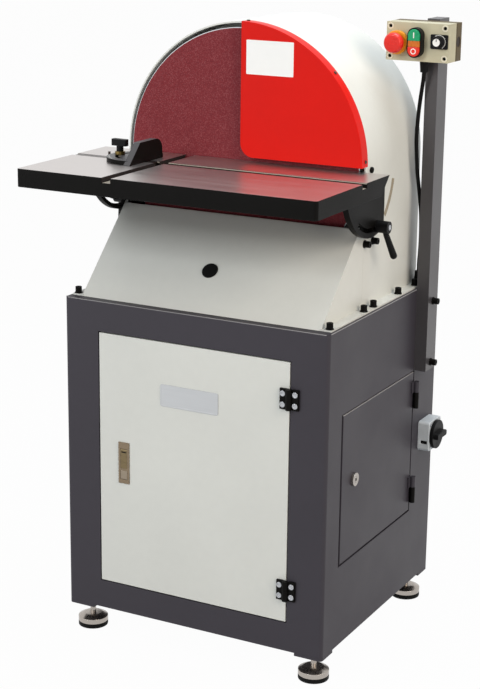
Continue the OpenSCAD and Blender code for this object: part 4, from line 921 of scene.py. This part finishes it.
class SANDER_OT_isolator(bpy.types.Operator):
    """Isolator with its slot and corner screws, the hatch lock's key recess, and the door latch's groove,
    each recess with a black fill near its top as painted shade of its depth
    """
    bl_idname = "sander.isolator"
    bl_label = "Isolator, lock and latch"

    def execute(self, context):
        low, high = box_mm("isolator_base")
        base_t, screw_in, slot_sunk, slot_deep = 26, 7, 0.6, 3
        slot_x, slot_z = (low[0] + 7.5, low[0] + 21.5), (low[2] + 16, low[2] + 22.5)
        slot_high = (slot_x[1], low[1] + slot_deep, slot_z[1])
        cutter = block((slot_x[0], low[1] - OVERRUN, slot_z[0]), slot_high)
        soften("isolator_base", 0.0018, "grey_plastic", 3, [cutter])
        # Black fill just below the face: painted shade standing in for the slot's depth
        fill = block((slot_x[0], low[1] + slot_sunk, slot_z[0]), slot_high)
        bevel(fill, 0.0003, 2)
        settle(fill, "isolator_slot_painted_shade", "machine", "black_plastic")
        corners = [((low[0] + base_t, y, z), (1, 0, 0)) for y in (low[1] + screw_in, high[1] - screw_in)
                   for z in (low[2] + screw_in, high[2] - screw_in)]
        made = copies(screw_head(0.003, 0.0014), corners)
        settle(made, "isolator_screws", "machine", "zinc_steel")

        face = box_mm("lock_plug")[1][0]
        y, z = ((a + b) / 2 for a, b in list(zip(*box_mm("lock_body")))[1:])
        key_w, key_h, key_deep, key_sunk = 7, 6.5, 2.5, 0.5
        key_low = (face - key_deep, y - key_w / 2, z - key_h / 2)
        key_y, key_z = y + key_w / 2, z + key_h / 2
        cutter = block(key_low, (face + OVERRUN, key_y, key_z))
        soften("lock_plug", 0.0004, "chrome", 2, [cutter])
        # Black fill just below the plug's face: painted shade standing in for the keyhole's depth
        fill = block(key_low, (face - key_sunk, key_y, key_z))
        bevel(fill, 0.0002, 1)
        settle(fill, "key_slot_painted_shade", "lock_plug", "black_plastic")

        low, high = box_mm("latch_paddle")
        side_in, groove_deep, groove_sunk = 3.5, 1.8, 0.6
        groove_x, groove_z = (low[0] + side_in, high[0] - side_in), (high[2] - 8, high[2] - 5.4)
        groove_high = (groove_x[1], low[1] + groove_deep, groove_z[1])
        cutter = block((groove_x[0], low[1] - OVERRUN, groove_z[0]), groove_high)
        soften("latch_paddle", 0.0006, "olive_bronze", 2, [cutter])
        # Black fill just below the paddle's face: painted shade standing in for the groove's depth
        fill = block((groove_x[0], low[1] + groove_sunk, groove_z[0]), groove_high)
        bevel(fill, 0.0002, 1)
        settle(fill, "latch_groove_painted_shade", "latch_paddle", "black_plastic")
        return {"FINISHED"}


class SANDER_OT_tilt_scale(bpy.types.Operator):
    """Graduated arc on the drum's right wall, about the table's tilt axis"""
    bl_idname = "sander.tilt_scale"
    bl_label = "Tilt scale"

    def execute(self, context):
        inner, outer, thick = 139.5, 150, 0.8
        start, end, first, step = -44, -13, 2, 5
        tick_in, tick_out, tick_w, tick_t = outer - 3.5, outer - 0.4, 0.5, 0.15
        # Local X runs to the rear and local Y up, so local Z stands out from the wall
        place = (Matrix.Translation((DRUM_WALL * MM, TILT_Y * MM, TILT_Z * MM))
                 @ Matrix(((0, 0, 1), (1, 0, 0), (0, 1, 0))).to_4x4())
        strip = arc_strip(inner, outer, thick, start, end, 24)
        strip.matrix_world = place
        bevel(strip, 0.0002, 1)
        settle(strip, "tilt_scale", "machine", "scale_beige")
        tick = block((tick_in, -tick_w / 2, thick), (tick_out, tick_w / 2, thick + tick_t))
        bevel(tick, 0.00005, 1)
        marks = spread(tick, [place @ turn_z(a) for a in range(start + first, end, step)])
        settle(marks, "tilt_ticks", "machine", "black_plastic")
        return {"FINISHED"}


class SANDER_OT_plates(bpy.types.Operator):
    """Blank plates on the front door and the guard"""
    bl_idname = "sander.plates"
    bl_label = "Blank plates"

    def execute(self, context):
        thick = context.scene.sander_sizes.plate / MM
        plate_x, plate_z = (-71, 59), (523, 568)
        front = box_mm("front_door")[0][1]
        plate = block((plate_x[0], front - thick, plate_z[0]), (plate_x[1], front, plate_z[1]))
        pick(plate, edges=lambda c, d: abs(d.y) > 0.9)
        bpy.ops.mesh.bevel(offset=0.004, segments=5)
        recess(plate, lambda c, n: n.y < -0.9, 0.0025, (0, 0.0003, 0))
        bevel(plate, 0.0002, 2)
        settle(plate, "door_plate", "front_door", "plate_alloy")

        label_x, label_z, label_t = (16, 118), (1162, 1228), 0.4
        front = box_mm("disc_guard")[0][1]
        label = block((label_x[0], front - label_t, label_z[0]), (label_x[1], front, label_z[1]))
        pick(label, edges=lambda c, d: abs(d.y) > 0.9)
        bpy.ops.mesh.bevel(offset=0.0015, segments=4)
        leave_edit()
        settle(label, "guard_plate", "machine", "blank_white")
        return {"FINISHED"}


class SANDER_OT_controls(bpy.types.Operator):
    """Marks on the push buttons and the speed control"""
    bl_idname = "sander.controls"
    bl_label = "Control marks"

    def execute(self, context):
        x, face, z = front_middle("start_button")
        half_w, up, down, proud, sunk = 1.1, 5, 6, 0.3, 0.2
        mark = block((x - half_w, face - proud, z - down), (x + half_w, face + sunk, z + up))
        bevel(mark, 0.0002, 1)
        settle(mark, "start_mark", "start_button", "white_plastic")

        x, face, z = front_middle("stop_button")
        ring_up, flatness = 1, 0.4
        select_only()
        bpy.ops.mesh.primitive_torus_add(
            major_radius=0.0048, minor_radius=0.0009, major_segments=40, minor_segments=8,
            location=(x * MM, face * MM, (z + ring_up) * MM), rotation=(math.pi / 2, 0, 0))
        ring = bpy.context.object
        apply_place()
        pick(ring, faces=lambda c, n: True)
        bpy.ops.transform.resize(value=(1, flatness, 1), center_override=(0, face * MM, 0))
        leave_edit()
        settle(ring, "stop_mark", "stop_button", "white_plastic")

        x, face, z = front_middle("speed_knob")
        select_only()
        bpy.ops.mesh.primitive_cylinder_add(vertices=40, radius=0.0074, depth=0.0012,
                                            location=(x * MM, face * MM, z * MM),
                                            rotation=(math.pi / 2, 0, 0))
        cap = bpy.context.object
        apply_place()
        recess(cap, lambda c, n: n.y < -0.9, 0.0016, (0, 0.0003, 0))
        bevel(cap, 0.0002, 2)
        settle(cap, "speed_cap", "speed_knob", "white_plastic")
        half_w, near, far, proud, sunk = 0.6, 1.5, 6.6, 0.9, 0.2
        line = block((x - half_w, face - proud, z + near), (x + half_w, face - sunk, z + far))
        bevel(line, 0.0001, 1)
        settle(line, "speed_pointer", "speed_knob", "black_plastic")

        plate_t, start, end, step = 2.5, -60, 240, 30
        arc_in, arc_out, arc_t = 12.4, 13.5, 0.25
        tick_in, tick_out, tick_w = 13.2, 14.2, 0.6
        plate_face = box_mm("speed_plate")[1][1] - plate_t
        # Local X runs right and local Y up, so local Z stands out from the plate
        place = Matrix.Translation((x * MM, plate_face * MM, z * MM)) @ Matrix.Rotation(math.pi / 2, 4, "X")
        arc = arc_strip(arc_in, arc_out, arc_t, start, end, 60)
        arc.matrix_world = place
        settle(arc, "speed_arc", "machine", "white_plastic")
        tick = block((tick_in, -tick_w / 2, 0), (tick_out, tick_w / 2, arc_t))
        bevel(tick, 0.00008, 1)
        marks = spread(tick, [place @ turn_z(a) for a in range(start, end + 1, step)])
        settle(marks, "speed_ticks", "machine", "white_plastic")
        return {"FINISHED"}


class SANDER_OT_gauge(bpy.types.Operator):
    """Head with a painted highlight on its upward faces, brass foot and graduated scale of the mitre gauge
    """
    bl_idname = "sander.gauge"
    bl_label = "Gauge scale"

    def execute(self, context):
        head = soften("gauge_head", 0.0008, None)
        # Upward faces of the black head, save those facing right, take the lighter grey as a painted
        # highlight
        face_materials(head, ("black_iron", "gauge_painted_highlight"),
                       lambda face: int(face.normal.z > 0.5 and face.normal.x < 0.3))
        knob = soften("gauge_knob", 0.0016, None)
        foot_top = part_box("gauge_knob")[0][2] + 0.0062
        face_materials(knob, ("black_plastic", "brass"), lambda face: int(face.center.z < foot_top))

        head_t, pivot_in = 8, 38
        tick_in, tick_out, tick_w, tick_t = 56, 60.5, 0.4, 0.2
        reach, step = 60, 5
        low, high = box_mm("gauge_bar")
        pivot = Matrix.Translation(((high[0] - pivot_in) * MM, (low[1] + high[1]) / 2 * MM,
                                    (box_mm("gauge_head")[0][2] + head_t) * MM))
        tick = block((-tick_out, -tick_w / 2, 0), (-tick_in, tick_w / 2, tick_t))
        bevel(tick, 0.00006, 1)
        marks = spread(tick, [pivot @ turn_z(a) for a in range(-reach, reach + 1, step)])
        settle(marks, "gauge_ticks", "gauge_head", "white_plastic")
        return {"FINISHED"}


CLASSES = [SanderColours, SanderSizes, SANDER_OT_stage, SANDER_OT_cable, SANDER_OT_finishes, SANDER_OT_table,
           SANDER_OT_screws, SANDER_OT_box, SANDER_OT_isolator, SANDER_OT_tilt_scale, SANDER_OT_plates,
           SANDER_OT_controls, SANDER_OT_gauge]


class SANDER_PT_panel(bpy.types.Panel):
    """The machine's colours and sizes, and a button for each step"""
    bl_idname = "SANDER_PT_panel"
    bl_label = "Disc sander"
    bl_space_type = "VIEW_3D"
    bl_region_type = "UI"
    bl_category = "Sander"

    def draw(self, context):
        for settings in (context.scene.sander_colours, context.scene.sander_sizes):
            box = self.layout.box()
            for name in settings.__annotations__:
                box.prop(settings, name)
        for cls in CLASSES[2:]:
            self.layout.operator(cls.bl_idname)


def register():
    for cls in CLASSES + [SANDER_PT_panel]:
        bpy.utils.register_class(cls)
    bpy.types.Scene.sander_colours = PointerProperty(type=SanderColours)
    bpy.types.Scene.sander_sizes = PointerProperty(type=SanderSizes)


def unregister():
    del bpy.types.Scene.sander_sizes
    del bpy.types.Scene.sander_colours
    for cls in reversed(CLASSES + [SANDER_PT_panel]):
        bpy.utils.unregister_class(cls)


def main():
    register()
    make_materials(bpy.context.scene.sander_colours)
    bpy.ops.sander.stage()
    bpy.ops.sander.cable()
    bpy.ops.sander.finishes()
    bpy.ops.sander.table()
    bpy.ops.sander.screws()
    bpy.ops.sander.box()
    bpy.ops.sander.isolator()
    bpy.ops.sander.tilt_scale()
    bpy.ops.sander.plates()
    bpy.ops.sander.controls()
    bpy.ops.sander.gauge()


if __name__ == "__main__":
    main()
